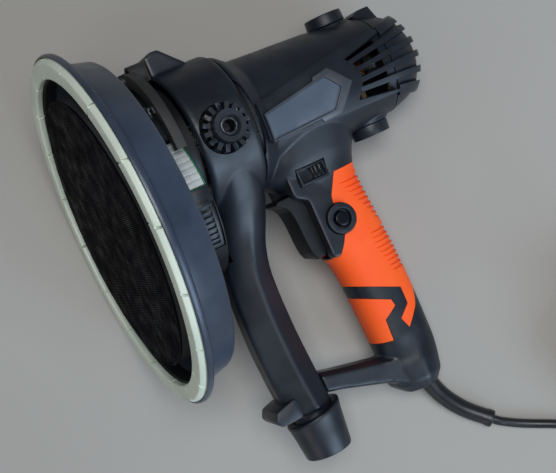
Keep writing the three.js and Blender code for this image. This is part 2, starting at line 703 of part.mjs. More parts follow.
// Rear cover: a domed cap with deep cooling slots and a lug on top.
function rearCover() {
  const profile = (inset, front) => [
    [front, 0],
    [front, REAR_R - inset],
    [212, 31.6 - inset],
    [227, 25.5 - inset],
    [REAR_X - inset, 14 - inset / 2],
    [REAR_X - inset, 0],
  ];
  const ribProfile = [
    [COVER_X + GAP, 0],
    [COVER_X + GAP, REAR_R + 2],
    [213, 33.8],
    [SHOULDER.x, SHOULDER.r],
    [REAR_X + 2, 15],
    [REAR_X + 2, 0],
  ];
  const lugOutline = [
    [207, 55],
    [207, 66.8],
    [210, 68.4],
    [217.5, 68.6],
    [221, 58],
    [221, 52],
  ];
  const dome = turned(profile(0, COVER_X + GAP), 30, MOTOR_Z);
  const room = turned(profile(WALL, COVER_X), 24, MOTOR_Z);
  const outside = join(dome, fanRibs(FAN, ribProfile), plate(lugOutline, -9, 9));
  const seat = pipe(207, 213.8, 11.4, 8 + GAP, 16, MOTOR_Z);
  const web = block([208, -31, MOTOR_Z - 2.5], [212, 31, MOTOR_Z + 2.5]);
  const webBore = pipe(200, 214, 8 + GAP, 0, 16, MOTOR_Z);
  const slots = [22.6, 32.5, 42.3].map((z) => block([224, -9, z - 2.6], [REAR_X + 4, 9, z + 2.6]));
  add("rear_cover", cut(join(cut(outside, room), cut(join(seat, web), webBore)), ...slots), BLACK);
}

// ---------- motor ----------
const CORE = { x0: 121, x1: 161, r: 31.5, bore: 18.6, rotor: 17.8 };
const COMMUTATOR = { x0: 181, x1: 196, r: 11 };
function motor() {
  const z = MOTOR_Z;
  const shaft = [
    [63, 0], [63, 1.9], [79.6, 1.9], [79.6, 4], [COMMUTATOR.x1 + 2, 4], [COMMUTATOR.x1 + 2, 3.2],
    [213, 3.2], [213, 0],
  ];
  add("rotor_shaft", turned(shaft, 12, z), STEEL);
  add("motor_front_bearing", pipe(80, 88, 11, 4 + GAP, 16, z), STEEL);
  add("motor_rear_bearing", pipe(206.6, 213, 8, 3.2 + GAP, 14, z), STEEL);

  const rotor = pipe(CORE.x0 + 1, CORE.x1 - 1, CORE.rotor, 4 + GAP, 24, z);
  const rotorSlots = around(12, () => block([CORE.x0, -1, z + 12], [CORE.x1, 1, z + 20]), z);
  add("rotor_core", cut(rotor, ...rotorSlots), DARK_STEEL);
  add("rotor_winding", pipe(CORE.x1 - 0.6, 177, 15, 4 + GAP, 18, z), COPPER);
  add("commutator", pipe(COMMUTATOR.x0, COMMUTATOR.x1, COMMUTATOR.r, 4 + GAP, 18, z), COPPER);

  const yoke = pipe(CORE.x0, CORE.x1, CORE.r, 26.8, 28, z);
  const pole = block([CORE.x0, -11, z + 17], [CORE.x1, 11, z + 27]);
  const shoe = arc(CORE.x0, CORE.x1, CORE.bore, 20.5, 40, 140, 6).translate([0, 0, z]);
  const poles = [0, 180].map((turn) => around(1, () => join(pole, shoe), z, turn)[0]);
  const rotorRoom = pipe(100, 200, CORE.bore, 0, 24, z);
  add("stator_core", cut(join(yoke, ...poles), rotorRoom), DARK_STEEL);
  const coil = cut(
    block([CORE.x0 - 5, -14.8, z + 18.2], [CORE.x1 + 5, 14.8, z + 21.2]),
    block([CORE.x0 - GAP, -11 - GAP, z + 15], [CORE.x1 + GAP, 11 + GAP, z + 28]),
  );
  add("field_coil_top", coil, COPPER);
  add("field_coil_bottom", around(1, () => coil, z, 180)[0], COPPER);

  const hub = join(pipe(101, 113, 8, 0, 16, z), pipe(111, 113, 33, 0, 24, z));
  const blades = around(9, () => block([102, -0.9, z + 7], [111.5, 0.9, z + 33]), z);
  add("cooling_fan", cut(join(hub, ...blades), pipe(90, 120, 4 + GAP, 0, 12, z)), BLACK);

  for (const [end, side] of [["top", 1], ["bottom", -1]]) brushGear(end, side);
}

// One carbon brush with its holder and screw cap, above or below the commutator.
function brushGear(end, side) {
  const at = (low, high) => [MOTOR_Z + side * low, MOTOR_Z + side * high].sort((a, b) => a - b);
  const post = (halfX, halfY, low, high) => {
    const [z0, z1] = at(low, high);
    return block([BRUSH_X - halfX, -halfY, z0], [BRUSH_X + halfX, halfY, z1]);
  };
  add(`carbon_brush_${end}`, post(2.5, 4, COMMUTATOR.r + 0.15, 22), CARBON);
  add(`brush_holder_${end}`, cut(post(4.5, 6, 13, 26.5), post(2.5 + GAP, 4 + GAP, 12, 28)), BRASS);
  const seat = [BRUSH_X, 0, MOTOR_Z + side * 35.1];
  const top = [BRUSH_X, 0, MOTOR_Z + side * CAP_TOP];
  const neck = rod([BRUSH_X, 0, MOTOR_Z + side * 27], [BRUSH_X, 0, MOTOR_Z + side * 36], 8, 14);
  const slot = post(1, 9, CAP_TOP - 2, CAP_TOP + 1);
  add(`brush_cap_${end}`, cut(join(rod(seat, top, CAP_R, 20), neck), slot), BLACK);
}

// ---------- controls ----------
function controls() {
  const outline = [
    [100.8, -24.2], [106, -23.6], [119, -23.2], [126, -23.6], [127.5, -32], [121.5, -36], [122.5, -62],
    [118.5, -67.2], [112.5, -67.4], [109.6, -62], [108.6, -42], [106.6, -31],
  ];
  const pinEnd = 13.5;
  const { x, z } = TRIGGER_PIVOT;
  add("trigger", join(plate(outline, -10, 10), rod([x, -pinEnd, z], [x, pinEnd, z], 2, 12)), BLACK);
  add("trigger_switch", block([132, -9, -66], [158, 9, -30]), SOFT_BLACK);
  add("led_driver_board", block([124, -9, -19], [154, 9, -17.4]), BOARD);

  const collar = cut(
    rod([BUTTON.x, -15.6, BUTTON.z], [BUTTON.x, -23.8, BUTTON.z], 10.1, 20, 9.6),
    rod([BUTTON.x, -10, BUTTON.z], [BUTTON.x, -30, BUTTON.z], 5, 16),
  );
  add("button_collar", collar, BLACK);
  add("lock_button", rod([BUTTON.x, -13.6, BUTTON.z], [BUTTON.x, -24.6, BUTTON.z], 4.7, 16), BLACK);

  const frame = cut(
    block([SLIDE.x - 10.1, -24.4, SLIDE.z - 5.6], [SLIDE.x + 10.1, -17, SLIDE.z + 5.6]),
    block([SLIDE.x - 8.3, -30, SLIDE.z - 3.9], [SLIDE.x + 8.3, -20.2, SLIDE.z + 3.9]),
  );
  add("light_switch_frame", frame, BLACK);
  const knob = block([SLIDE.x + 0.2, -23.8, SLIDE.z - 3.6], [SLIDE.x + 8, -20.5, SLIDE.z + 3.6]);
  add("light_switch_knob", knob, BLACK);
}

// ---------- lying on its side ----------
// The tool rests on three points: the shroud's lip, the rear cover's shoulder and the handle's end.
function layDown() {
  const turn = (degrees) => (degrees * Math.PI) / 180;
  const lip = new THREE.Vector3(LIP_X, LIP_R * Math.cos(turn(10)), -LIP_R * Math.sin(turn(10)));
  const { x, r } = SHOULDER;
  const shoulder = new THREE.Vector3(x, r * Math.cos(turn(12)), MOTOR_Z - r * Math.sin(turn(12)));
  const heel = new THREE.Vector3(...levelRing(...HANDLE.at(-2), HANDLE_POWER)[2]);
  const up = shoulder.clone().sub(lip).cross(heel.clone().sub(lip)).normalize();
  if (up.y > 0) up.negate();
  const along = new THREE.Vector3(1, 0, 0).addScaledVector(up, -up.x).normalize();
  const across = up.clone().cross(along);
  const laid = new THREE.Matrix4().makeBasis(along, across, up).transpose();
  tool.quaternion.setFromRotationMatrix(laid);
  tool.updateMatrixWorld(true);
  const box = new THREE.Box3().setFromObject(tool, true);
  tool.position.set(-(box.min.x + box.max.x) / 2, -(box.min.y + box.max.y) / 2, -box.min.z);
}

// ---------- mains lead ----------
// In the frame of the surface: z = 0 is the surface. The spare length is a round coil with the plug on it.
const CORD_R = 3;
const SLEEVE_ROUTE = [
  [36.3, -124.7, 17.4],
  [37.9, -136.9, 14],
  [41.9, -150.9, 10.3],
  [50.3, -165.3, 7.5],
  [63.7, -179.9, 6.4],
];
const CORD_ROUTE = [
  [64.7, -180.8, 6.3],
  [70.8, -185.9, 4.8],
  [79.3, -191.5, 3.4],
  [89.6, -197.2, 3.1],
  [99.3, -202.4, 3.1],
  [113.9, -211.6, 3.1],
  [128.7, -220.7, 3.1],
];
const COIL = { x: 169.3, y: -195, inner: 21, outer: 45, high: 24 };
const CROSSING = { x: 155.2, y: -200.1, radius: 27, from: 205, to: 362 };
const PLUG = { x: 182.2, y: -165, z: COIL.high + GAP + 13.2, tail: -34 };

// Round rings square to a route, with a radius at each step.
function sleeve(route, radii, sides = 16) {
  const path = new THREE.CatmullRomCurve3(route.map((p) => new THREE.Vector3(...p)));
  const side = new THREE.Vector3();
  const rise = new THREE.Vector3();
  const rings = radii.map(([share, radius]) => {
    const middle = path.getPoint(share);
    const along = path.getTangent(share);
    side.crossVectors(along, new THREE.Vector3(0, 0, 1)).normalize();
    rise.crossVectors(side, along);
    return Array.from({ length: sides }, (_, i) => {
      const turn = (i / sides) * 2 * Math.PI;
      const spoke = side.clone().multiplyScalar(radius * Math.cos(turn));
      return middle.clone().add(spoke.addScaledVector(rise, radius * Math.sin(turn))).toArray();
    });
  });
  return loft(rings);
}

function leadAlong(route, steps) {
  const circle = new THREE.Shape(
    Array.from({ length: 8 }, (_, i) => {
      const turn = ((i + 0.5) / 8) * 2 * Math.PI;
      return new THREE.Vector2(CORD_R * Math.cos(turn), CORD_R * Math.sin(turn));
    }),
  );
  const extrudePath = new THREE.CatmullRomCurve3(route.map((p) => new THREE.Vector3(...p)));
  return solid(new THREE.ExtrudeGeometry(circle, { steps, bevelEnabled: false, extrudePath }));
}

// The last bend of the lead crosses the top of the coil and climbs to the plug's tail.
function crossingRoute() {
  const low = COIL.high + GAP + CORD_R;
  const points = 9;
  return Array.from({ length: points }, (_, i) => {
    const share = i / (points - 1);
    const turn = (THREE.MathUtils.lerp(CROSSING.from, CROSSING.to, share) * Math.PI) / 180;
    const climb = THREE.MathUtils.smoothstep(share, 0.3, 1);
    return [
      CROSSING.x + CROSSING.radius * Math.cos(turn),
      CROSSING.y + CROSSING.radius * Math.sin(turn),
      low + (PLUG.z - low) * climb,
    ];
  });
}

// Two-pin plug along +X: tapered tail, oval body, pins 19 apart.
function plug() {
  const oval = (x, halfWide, halfHigh) =>
    Array.from({ length: 16 }, (_, i) => {
      const turn = (i / 16) * 2 * Math.PI;
      return [x, halfWide * Math.cos(turn), halfHigh * Math.sin(turn)];
    });
  const stations = [
    [PLUG.tail, 4.6, 4.6],
    [-20, 5.6, 5.6],
    [-16, 9, 8],
    [-6, 15, 12.2],
    [6, 17.8, 13.2],
    [12, 17.8, 13.2],
  ];
  const pins = [-9.5, 9.5].map((y) => rod([11, y, 0], [31, y, 0], 2.4, 12));
  return join(loft(stations.map((station) => oval(...station))), ...pins);
}

function mainsLead() {
  const taper = [
    [0, 6.3],
    [0.25, 6.2],
    [0.5, 6],
    [0.75, 5.7],
    [0.95, 5.4],
    [0.951, 5.9],
    [1, 5.9],
  ];
  add("strain_relief", sleeve(SLEEVE_ROUTE, taper), SOFT_BLACK, lead);
  add("cord", leadAlong(CORD_ROUTE, 12), SOFT_BLACK, lead);

  const section = [
    [0, COIL.inner],
    [0, COIL.outer],
    [COIL.high, COIL.outer],
    [COIL.high, COIL.inner],
  ];
  const ring = turned(section, 28).rotate([0, -90, 0]).translate([COIL.x, COIL.y, 0]);
  add("cord_coil", ring, SOFT_BLACK, lead);
  const body = plug().rotate([0, 0, 90]).translate([PLUG.x, PLUG.y, PLUG.z]);
  add("plug", join(body, leadAlong(crossingRoute(), 14)), SOFT_BLACK, lead);
}

noseHousing();
lights();
bracket();
shroudSprings();
headShell();
gearCover();
sideBosses();
hoseCollar();
motorHousing();
rearCover();
motor();
controls();
gears();
pad();
spindle();
shroud();
layDown();
mainsLead();

const sander = new THREE.Group();
sander.add(tool, lead);
export default sander;
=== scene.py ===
"""Looks of the drywall sander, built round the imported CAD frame.

Pieces are modelled in millimetres in the tool's own frame: X back along the motor, Z up, Y to the right,
origin on the spindle axis at the sanding face. place() turns them into the row frame. The mains lead is
modelled in the row frame, where z = 0 is the surface that the tool lies on.
"""

import json
import math

import bmesh
import bpy
from mathutils import Matrix, Vector


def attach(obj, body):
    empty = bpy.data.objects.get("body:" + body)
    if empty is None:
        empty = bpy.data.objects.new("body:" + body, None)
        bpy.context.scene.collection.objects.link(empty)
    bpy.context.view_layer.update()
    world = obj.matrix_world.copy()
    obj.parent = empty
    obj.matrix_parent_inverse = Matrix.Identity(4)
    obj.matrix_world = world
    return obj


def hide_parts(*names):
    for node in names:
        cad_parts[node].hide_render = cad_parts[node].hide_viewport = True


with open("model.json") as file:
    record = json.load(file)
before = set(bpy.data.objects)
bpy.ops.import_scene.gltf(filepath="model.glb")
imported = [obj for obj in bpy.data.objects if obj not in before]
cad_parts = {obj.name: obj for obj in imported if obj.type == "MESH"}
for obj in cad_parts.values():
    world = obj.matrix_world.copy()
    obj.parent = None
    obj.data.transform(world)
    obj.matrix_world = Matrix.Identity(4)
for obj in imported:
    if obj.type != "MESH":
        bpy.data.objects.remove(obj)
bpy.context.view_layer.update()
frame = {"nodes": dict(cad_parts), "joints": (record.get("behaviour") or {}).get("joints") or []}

# ---------- frames ----------
MM = 0.001
JOINTS = {joint["name"]: joint for joint in frame["joints"]}
BACK = Vector(JOINTS["pad_spin"]["axis"])  # the tool's X
UP = Vector(JOINTS["hose_collar_turn"]["axis"])  # the tool's Z
RIGHT = UP.cross(BACK)  # the tool's Y
SPINDLE_POINT = Vector(JOINTS["pad_spin"]["pos_m"])
TURN = Matrix((BACK, RIGHT, UP)).transposed().to_4x4()
TO_ROW = Matrix.Translation(SPINDLE_POINT) @ TURN @ Matrix.Scale(MM, 4)
LEAD_TO_ROW = Matrix.Scale(MM, 4)

# ---------- driving dimensions, in mm, as in the CAD source ----------
MOTOR_Z = 32
LIP_R, SHROUD_BACK = 114.5, 29
RING_R, RING_IN, SKIRT_JOINTS = 112.5, 100, 18
PAD_R = 87.5
DRUM_R, DRUM_FRONT, DRUM_BACK = 48, 61, 98
LED_R, LED_X0, LED_X1 = 49, 41.5, 53.5
BRACKET_X = 45
BOSS_X, BOSS_FACE, BOSS_R, TEETH_R = 78.5, 60, 9.7, 14.8
BARREL_FRONT, COVER_X, REAR_X, REAR_R = 99, 206, 232, 33
BRUSH_X, CAP_R, CAP_TOP = 188.5, 13, 42.5
BUTTON_X, BUTTON_Z = 135, -49
SLIDE_X, SLIDE_Z = 128.5, -15
TRIGGER_HALF = 11.8
SPIGOT_X = 72.5

HANDLE = [  # z, front, back, half width
    (12, 99.3, 178, 31),
    (-6, 99.3, 171, 27),
    (-12, 101, 168, 24.6),
    (-17, 107.5, 166, 23),
    (-24, 115, 164, 21.6),
    (-66, 120, 167.5, 19.4),
    (-76, 124.5, 168.5, 18.6),
    (-95, 127, 169.5, 18),
    (-142, 129, 169.6, 18),
    (-156, 127.5, 168, 18.6),
    (-168, 130, 165.5, 18),
    (-175, 138, 160.5, 13),
]
TUBE = [  # z, front, back, half width, how faceted
    (24, 62, 98, 46.5, 0),
    (0, 61, 98, 38, 0),
    (-16, 60, 97.5, 30, 0.1),
    (-30, 58, 93, 23, 0.3),
    (-45, 55.8, 87, 19, 0.6),
    (-62, 53, 83.5, 17.3, 0.9),
    (-95, 51, 82.8, 16.5, 1),
    (-130, 52, 84.4, 16.5, 1),
    (-152, 54.5, 86, 16.5, 1),
]


# Ribs fanned over each side of the barrel: x and z at the front end, z at FAN_END, width.
# The vents between them stop at VENT_END.
FAN_END, VENT_END = 228, 200
FAN = [
    (169.5, 42.2, 54.5, 6),
    (174.6, 38.4, 46.6, 3),
    (178.2, 32.6, 37.1, 3),
    (179, 25.6, 27.5, 3),
    (176.4, 20.1, 17.7, 3),
    (170.2, 14.1, 7.5, 6),
]


# Outlines as (x, z) points of the plaque on each side, and of the arrow-shaped border round it.
PLAQUE = [(107.5, 29), (154.6, 36.8), (163, 27), (153.8, 15.2), (107.5, 13.2)]
BORDER = [
    (106.5, 30.2), (146, 36.8), (147.2, 39.2), (158.6, 41.2), (171.4, 27.6),
    (157, 11.6), (144, 11.2), (142.6, 13.6), (106.5, 12),
]


# ---------- materials ----------
def new_material(name, color, roughness, metallic=0.0):
    material = bpy.data.materials.new(name)
    material.use_nodes = True
    shader = material.node_tree.nodes["Principled BSDF"]
    shader.inputs["Base Color"].default_value = (*color, 1)
    shader.inputs["Roughness"].default_value = roughness
    shader.inputs["Metallic"].default_value = metallic
    return material, shader


def link(material, source, output, target, socket):
    material.node_tree.links.new(source.outputs[output], target.inputs[socket])


def noise(material, scale, detail=3.0, stretch=(1, 1, 1)):
    nodes = material.node_tree.nodes
    place_in = nodes.new("ShaderNodeTexCoord")
    mapping = nodes.new("ShaderNodeMapping")
    mapping.inputs["Scale"].default_value = stretch
    texture = nodes.new("ShaderNodeTexNoise")
    texture.inputs["Scale"].default_value = scale
    texture.inputs["Detail"].default_value = detail
    link(material, place_in, "Object", mapping, "Vector")
    link(material, mapping, "Vector", texture, "Vector")
    return texture


def vary(material, shader, texture, dark, light, low=0.35, high=0.65):
    """Base colour that wanders between two tones."""
    ramp = material.node_tree.nodes.new("ShaderNodeValToRGB")
    ramp.color_ramp.elements[0].position = low
    ramp.color_ramp.elements[1].position = high
    ramp.color_ramp.elements[0].color = (*dark, 1)
    ramp.color_ramp.elements[1].color = (*light, 1)
    link(material, texture, "Fac", ramp, "Fac")
    link(material, ramp, "Color", shader, "Base Color")
    return ramp


def vary_roughness(material, shader, texture, low, high):
    spread = material.node_tree.nodes.new("ShaderNodeMapRange")
    spread.inputs["From Min"].default_value = 0.3
    spread.inputs["From Max"].default_value = 0.7
    spread.inputs["To Min"].default_value = low
    spread.inputs["To Max"].default_value = high
    link(material, texture, "Fac", spread, "Value")
    link(material, spread, "Result", shader, "Roughness")


def bump(material, shader, texture, strength, depth):
    grain = material.node_tree.nodes.new("ShaderNodeBump")
    grain.inputs["Strength"].default_value = strength
    grain.inputs["Distance"].default_value = depth
    link(material, texture, "Fac", grain, "Height")
    link(material, grain, "Normal", shader, "Normal")


def moulded(name, dark, light, rough_low, rough_high, grain, strength, specular=0.5):
    """Moulded plastic or rubber: two close tones, uneven sheen and a spark-eroded grain."""
    material, shader = new_material(name, light, rough_high)
    vary(material, shader, noise(material, 28), dark, light)
    vary_roughness(material, shader, noise(material, 90), rough_low, rough_high)
    bump(material, shader, noise(material, grain, 4), strength, 0.00012)
    shader.inputs["Specular IOR Level"].default_value = specular
    return material


def metal(name, color, roughness, stretch=(1, 1, 1)):
    material, shader = new_material(name, color, roughness, 1.0)
    fine = noise(material, 500, 3, stretch)
    vary_roughness(material, shader, fine, roughness * 0.7, roughness * 1.4)
    bump(material, shader, fine, 0.25, 0.00006)
    return material


def copper_winding():
    """Enamelled wire: fine ridges along the turns."""
    material, shader = new_material("copper_wire", (0.55, 0.2, 0.07), 0.3, 1.0)
    wires = noise(material, 260, 2, (1, 8, 1))
    vary(material, shader, wires, (0.3, 0.09, 0.03), (0.7, 0.3, 0.12))
    bump(material, shader, wires, 0.6, 0.0003)
    return material


def frosted():
    """Light cover: frosted plastic, a little clear."""
    material, shader = new_material("light_cover", (0.62, 0.64, 0.62), 0.35)
    vary(material, shader, noise(material, 60), (0.5, 0.52, 0.5), (0.7, 0.72, 0.69))
    shader.inputs["Transmission Weight"].default_value = 0.25
    bump(material, shader, noise(material, 900), 0.15, 0.00008)
    return material


CHARCOAL = moulded(
    "charcoal_plastic", (0.0065, 0.009, 0.0145), (0.011, 0.015, 0.023),
    0.34, 0.48, 2600, 0.45, 0.45,
)
DEEP_BLACK = moulded(
    "deep_black_plastic", (0.004, 0.005, 0.006), (0.008, 0.009, 0.011),
    0.4, 0.55, 2200, 0.45, 0.3,
)
BORDER_GREY = moulded("border_grey", (0.042, 0.047, 0.056), (0.058, 0.064, 0.074), 0.34, 0.46, 1800, 0.35)
PANEL_GREY = moulded("panel_grey", (0.075, 0.095, 0.125), (0.1, 0.125, 0.16), 0.2, 0.3, 2600, 0.12, 0.6)
ROUGH_BLACK = moulded("coarse_plastic", (0.012, 0.012, 0.012), (0.03, 0.029, 0.028), 0.5, 0.75, 900, 0.9)
GLOSS_BLACK = moulded(
    "trigger_plastic", (0.003, 0.004, 0.006), (0.007, 0.009, 0.013),
    0.2, 0.3, 2600, 0.15, 0.35,
)
SHROUD_PLASTIC = moulded("shroud_plastic", (0.024, 0.034, 0.053), (0.040, 0.056, 0.086), 0.28, 0.4, 1800, 0.2)
ORANGE = moulded("orange_rubber", (0.98, 0.1, 0.012), (1.0, 0.125, 0.018), 0.5, 0.66, 2200, 0.35, 0.3)
PALE = moulded("pale_rubber", (0.60, 0.68, 0.57), (0.72, 0.79, 0.68), 0.35, 0.55, 1200, 0.2)
HOOKS = moulded("hook_face", (0.002, 0.002, 0.003), (0.004, 0.004, 0.006), 0.3, 0.8, 900, 0.9, 0.05)
FOAM = moulded("foam", (0.02, 0.021, 0.024), (0.05, 0.052, 0.056), 0.85, 0.98, 700, 1.0, 0.2)
CABLE = moulded("cable_rubber", (0.010, 0.011, 0.014), (0.017, 0.019, 0.024), 0.3, 0.42, 1500, 0.15)
CARBON = moulded("carbon", (0.02, 0.02, 0.02), (0.05, 0.05, 0.052), 0.5, 0.7, 1500, 0.5)
BOARD = moulded("circuit_board", (0.01, 0.12, 0.06), (0.02, 0.2, 0.1), 0.25, 0.4, 600, 0.2)
STEEL = metal("steel", (0.52, 0.53, 0.55), 0.28)
DARK_STEEL = metal("dark_steel", (0.2, 0.21, 0.23), 0.4)
BLACK_STEEL = metal("black_steel", (0.07, 0.075, 0.085), 0.34)
ALUMINIUM = metal("cast_aluminium", (0.62, 0.63, 0.65), 0.42)
BRASS = metal("brass", (0.66, 0.48, 0.2), 0.32)
COPPER = copper_winding()
DIFFUSER = frosted()


# ---------- mesh making ----------
def from_faces(name, verts, faces):
    mesh = bpy.data.meshes.new(name)
    mesh.from_pydata([tuple(v) for v in verts], [], faces)
    made = bpy.data.objects.new(name, mesh)
    bpy.context.scene.collection.objects.link(made)
    face_out(made)
    return made


def face_out(made):
    work = bmesh.new()
    work.from_mesh(made.data)
    bmesh.ops.recalc_face_normals(work, faces=work.faces)
    work.to_mesh(made.data)
    work.free()


def full_turn(sides):
    """Angles evenly round a circle."""
    return [2 * math.pi * i / sides for i in range(sides)]


def ring_about_x(x, radius, sides, z=0.0):
    turns = full_turn(sides)
    return [(x, radius * math.sin(t), z + radius * math.cos(t)) for t in turns]


def turned(name, profile, sides=96, z=0.0):
    """A closed profile of (x, radius) turned about the X direction at height z."""
    verts, faces, rows = [], [], []
    for x, radius in profile:
        if radius < 1e-6:
            rows.append([len(verts)])
            verts.append((x, 0, z))
        else:
            rows.append(list(range(len(verts), len(verts) + sides)))
            verts.extend(ring_about_x(x, radius, sides, z))
    for a, b in zip(rows, rows[1:] + rows[:1]):
        for i in range(sides):
            j = (i + 1) % sides
            quad = [a[i % len(a)], a[j % len(a)], b[j % len(b)], b[i % len(b)]]
            face = list(dict.fromkeys(quad))
            if len(face) > 2:
                faces.append(face)
    return from_faces(name, verts, faces)


def lofted(name, rings):
    """A skin over rings of equal length with flat ends."""
    sides = len(rings[0])
    verts = [p for ring in rings for p in ring]
    faces = []
    for r in range(len(rings) - 1):
        for i in range(sides):
            j = (i + 1) % sides
            faces.append([r * sides + i, r * sides + j, (r + 1) * sides + j, (r + 1) * sides + i])
    faces.append(list(range(sides)))
    faces.append(list(range((len(rings) - 1) * sides, len(rings) * sides)))
    return from_faces(name, verts, faces)


def plate(name, outline, y0, y1):
    """An outline of (x, z) points with thickness along Y."""
    return lofted(name, [[(x, y0, z) for x, z in outline], [(x, y1, z) for x, z in outline]])


def disc(name, outline, x0, x1):
    """An outline of (y, z) points with thickness along X."""
    return lofted(name, [[(x0, y, z) for y, z in outline], [(x1, y, z) for y, z in outline]])


def block(name, low, high):
    outline = [(low[0], low[2]), (high[0], low[2]), (high[0], high[2]), (low[0], high[2])]
    return plate(name, outline, low[1], high[1])


def rod(name, start, end, radius, sides=48, end_radius=None):
    a, b = Vector(start), Vector(end)
    along = (b - a).normalized()
    side = along.orthogonal().normalized()
    other = along.cross(side)
    rings = []
    for middle, r in ((a, radius), (b, radius if end_radius is None else end_radius)):
        turns = full_turn(sides)
        rings.append([tuple(middle + side * r * math.cos(t) + other * r * math.sin(t)) for t in turns])
    return lofted(name, rings)


def pipe(name, x0, x1, outer, inner, sides=96, z=0.0):
    return turned(name, [(x0, inner), (x0, outer), (x1, outer), (x1, inner)], sides, z)


def arc(name, x0, x1, inner, outer, start, end, steps=12, z=0.0):
    """A piece of a ring about the X direction. Angles count up from the tool's left side."""
    angles = [math.radians(start + (end - start) * i / steps) for i in range(steps + 1)]
    outside = [(-outer * math.cos(t), z + outer * math.sin(t)) for t in angles]
    inside = [(-inner * math.cos(t), z + inner * math.sin(t)) for t in reversed(angles)]
    return disc(name, outside + inside, x0, x1)


def move(made, matrix):
    made.data.transform(matrix)
    if matrix.determinant() < 0:
        made.data.flip_normals()
    return made


def about_motor(degrees):
    lift = Matrix.Translation((0, 0, MOTOR_Z))
    return lift @ Matrix.Rotation(math.radians(degrees), 4, "X") @ lift.inverted()


def mirrored(made, name):
    copy = bpy.data.objects.new(name, made.data.copy())
    bpy.context.scene.collection.objects.link(copy)
    return move(copy, Matrix.Scale(-1, 4, (0, 1, 0)))


def merged(name, parts):
    """Several meshes as one object, without a boolean."""
    work = bmesh.new()
    for part in parts:
        work.from_mesh(part.data)
        bpy.data.objects.remove(part)
    mesh = bpy.data.meshes.new(name)
    work.to_mesh(mesh)
    work.free()
    made = bpy.data.objects.new(name, mesh)
    bpy.context.scene.collection.objects.link(made)
    return made


def bake(made):
    """The object's modifiers, applied."""
    graph = bpy.context.evaluated_depsgraph_get()
    mesh = bpy.data.meshes.new_from_object(made.evaluated_get(graph))
    made.modifiers.clear()
    made.data = mesh
    return made


def boolean(made, other, operation):
    change = made.modifiers.new("boolean", "BOOLEAN")
    change.operation = operation
    change.solver = "MANIFOLD"
    change.object = other
    bake(made)
    bpy.data.objects.remove(other)
    return made


def cut(made, *tools):
    for tool in tools:
        boolean(made, tool, "DIFFERENCE")
    return made


def joined(made, *others):
    for other in others:
        boolean(made, other, "UNION")
    return made


def fused(made, voxel, smoothing):
    """One skin over overlapping parts, with soft fillets between them."""
    remesh = made.modifiers.new("remesh", "REMESH")
    remesh.mode = "VOXEL"
    remesh.voxel_size = voxel
    remesh.use_smooth_shade = True
    smooth = made.modifiers.new("smooth", "SMOOTH")
    smooth.factor = 0.5
    smooth.iterations = smoothing
    return bake(made)


def bevelled(made, width, segments=2, angle=35):
    edge = made.modifiers.new("bevel", "BEVEL")
    edge.width = width
    edge.segments = segments
    edge.limit_method = "ANGLE"
    edge.angle_limit = math.radians(angle)
    edge.miter_outer = "MITER_ARC"
    return bake(made)


def shade(made, angle=38):
    work = bmesh.new()
    work.from_mesh(made.data)
    bmesh.ops.remove_doubles(work, verts=work.verts, dist=1e-5)
    for face in work.faces:
        face.smooth = True
    for edge in work.edges:
        edge.smooth = edge.is_manifold and edge.calc_face_angle(0) < math.radians(angle)
    work.to_mesh(made.data)
    work.free()


def place(made, body, material, nodes=(), to_row=TO_ROW, angle=38):
    """A finished piece: shaded, coloured, moved into the row frame and riding on its body."""
    shade(made, angle)
    made.data.transform(to_row)
    made.data.materials.clear()
    made.data.materials.append(material)
    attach(made, body)
    if nodes:
        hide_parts(*nodes)
    return made


def halves(made, gap=0.12):
    """The two halves of a housing, with the parting line between them."""
    pair = []
    for side in (-1, 1):
        work = bmesh.new()
        work.from_mesh(made.data)
        every = work.verts[:] + work.edges[:] + work.faces[:]
        bmesh.ops.bisect_plane(
            work, geom=every, plane_co=(0, side * gap, 0), plane_no=(0, -side, 0), clear_outer=True
        )
        rim = [e for e in work.edges if e.is_boundary]
        bmesh.ops.triangle_fill(work, edges=rim, use_beauty=True)
        bmesh.ops.recalc_face_normals(work, faces=work.faces)
        mesh = bpy.data.meshes.new(made.name)
        work.to_mesh(mesh)
        work.free()
        half = bpy.data.objects.new(made.name + ("_left" if side < 0 else "_right"), mesh)
        bpy.context.scene.collection.objects.link(half)
        pair.append(half)
    bpy.data.objects.remove(made)
    return pair


# ---------- sections ----------
def spline(stations, z):
    """Values between stations that run down in z, on a smooth curve through them."""
    for i in range(len(stations) - 1):
        if stations[i + 1][0] <= z:
            break
    before = stations[max(i - 1, 0)]
    a, b = stations[i], stations[i + 1]
    after = stations[min(i + 2, len(stations) - 1)]
    t = (z - a[0]) / (b[0] - a[0])
    span = b[0] - a[0]
    values = []
    for k in range(1, len(a)):
        slope_a = (b[k] - before[k]) / (b[0] - before[0]) * span if before is not a else (b[k] - a[k])
        slope_b = (after[k] - a[k]) / (after[0] - a[0]) * span if after is not b else (b[k] - a[k])
        h = (2 * t**3 - 3 * t**2 + 1, t**3 - 2 * t**2 + t, -2 * t**3 + 3 * t**2, t**3 - t**2)
        values.append(h[0] * a[k] + h[1] * slope_a + h[2] * b[k] + h[3] * slope_b)
    return values


def straight(stations, z):
    """Values between stations on straight lines."""
    for a, b in zip(stations, stations[1:]):
        if b[0] <= z:
            break
    t = (z - a[0]) / (b[0] - a[0])
    return [a[k] + (b[k] - a[k]) * t for k in range(1, len(a))]


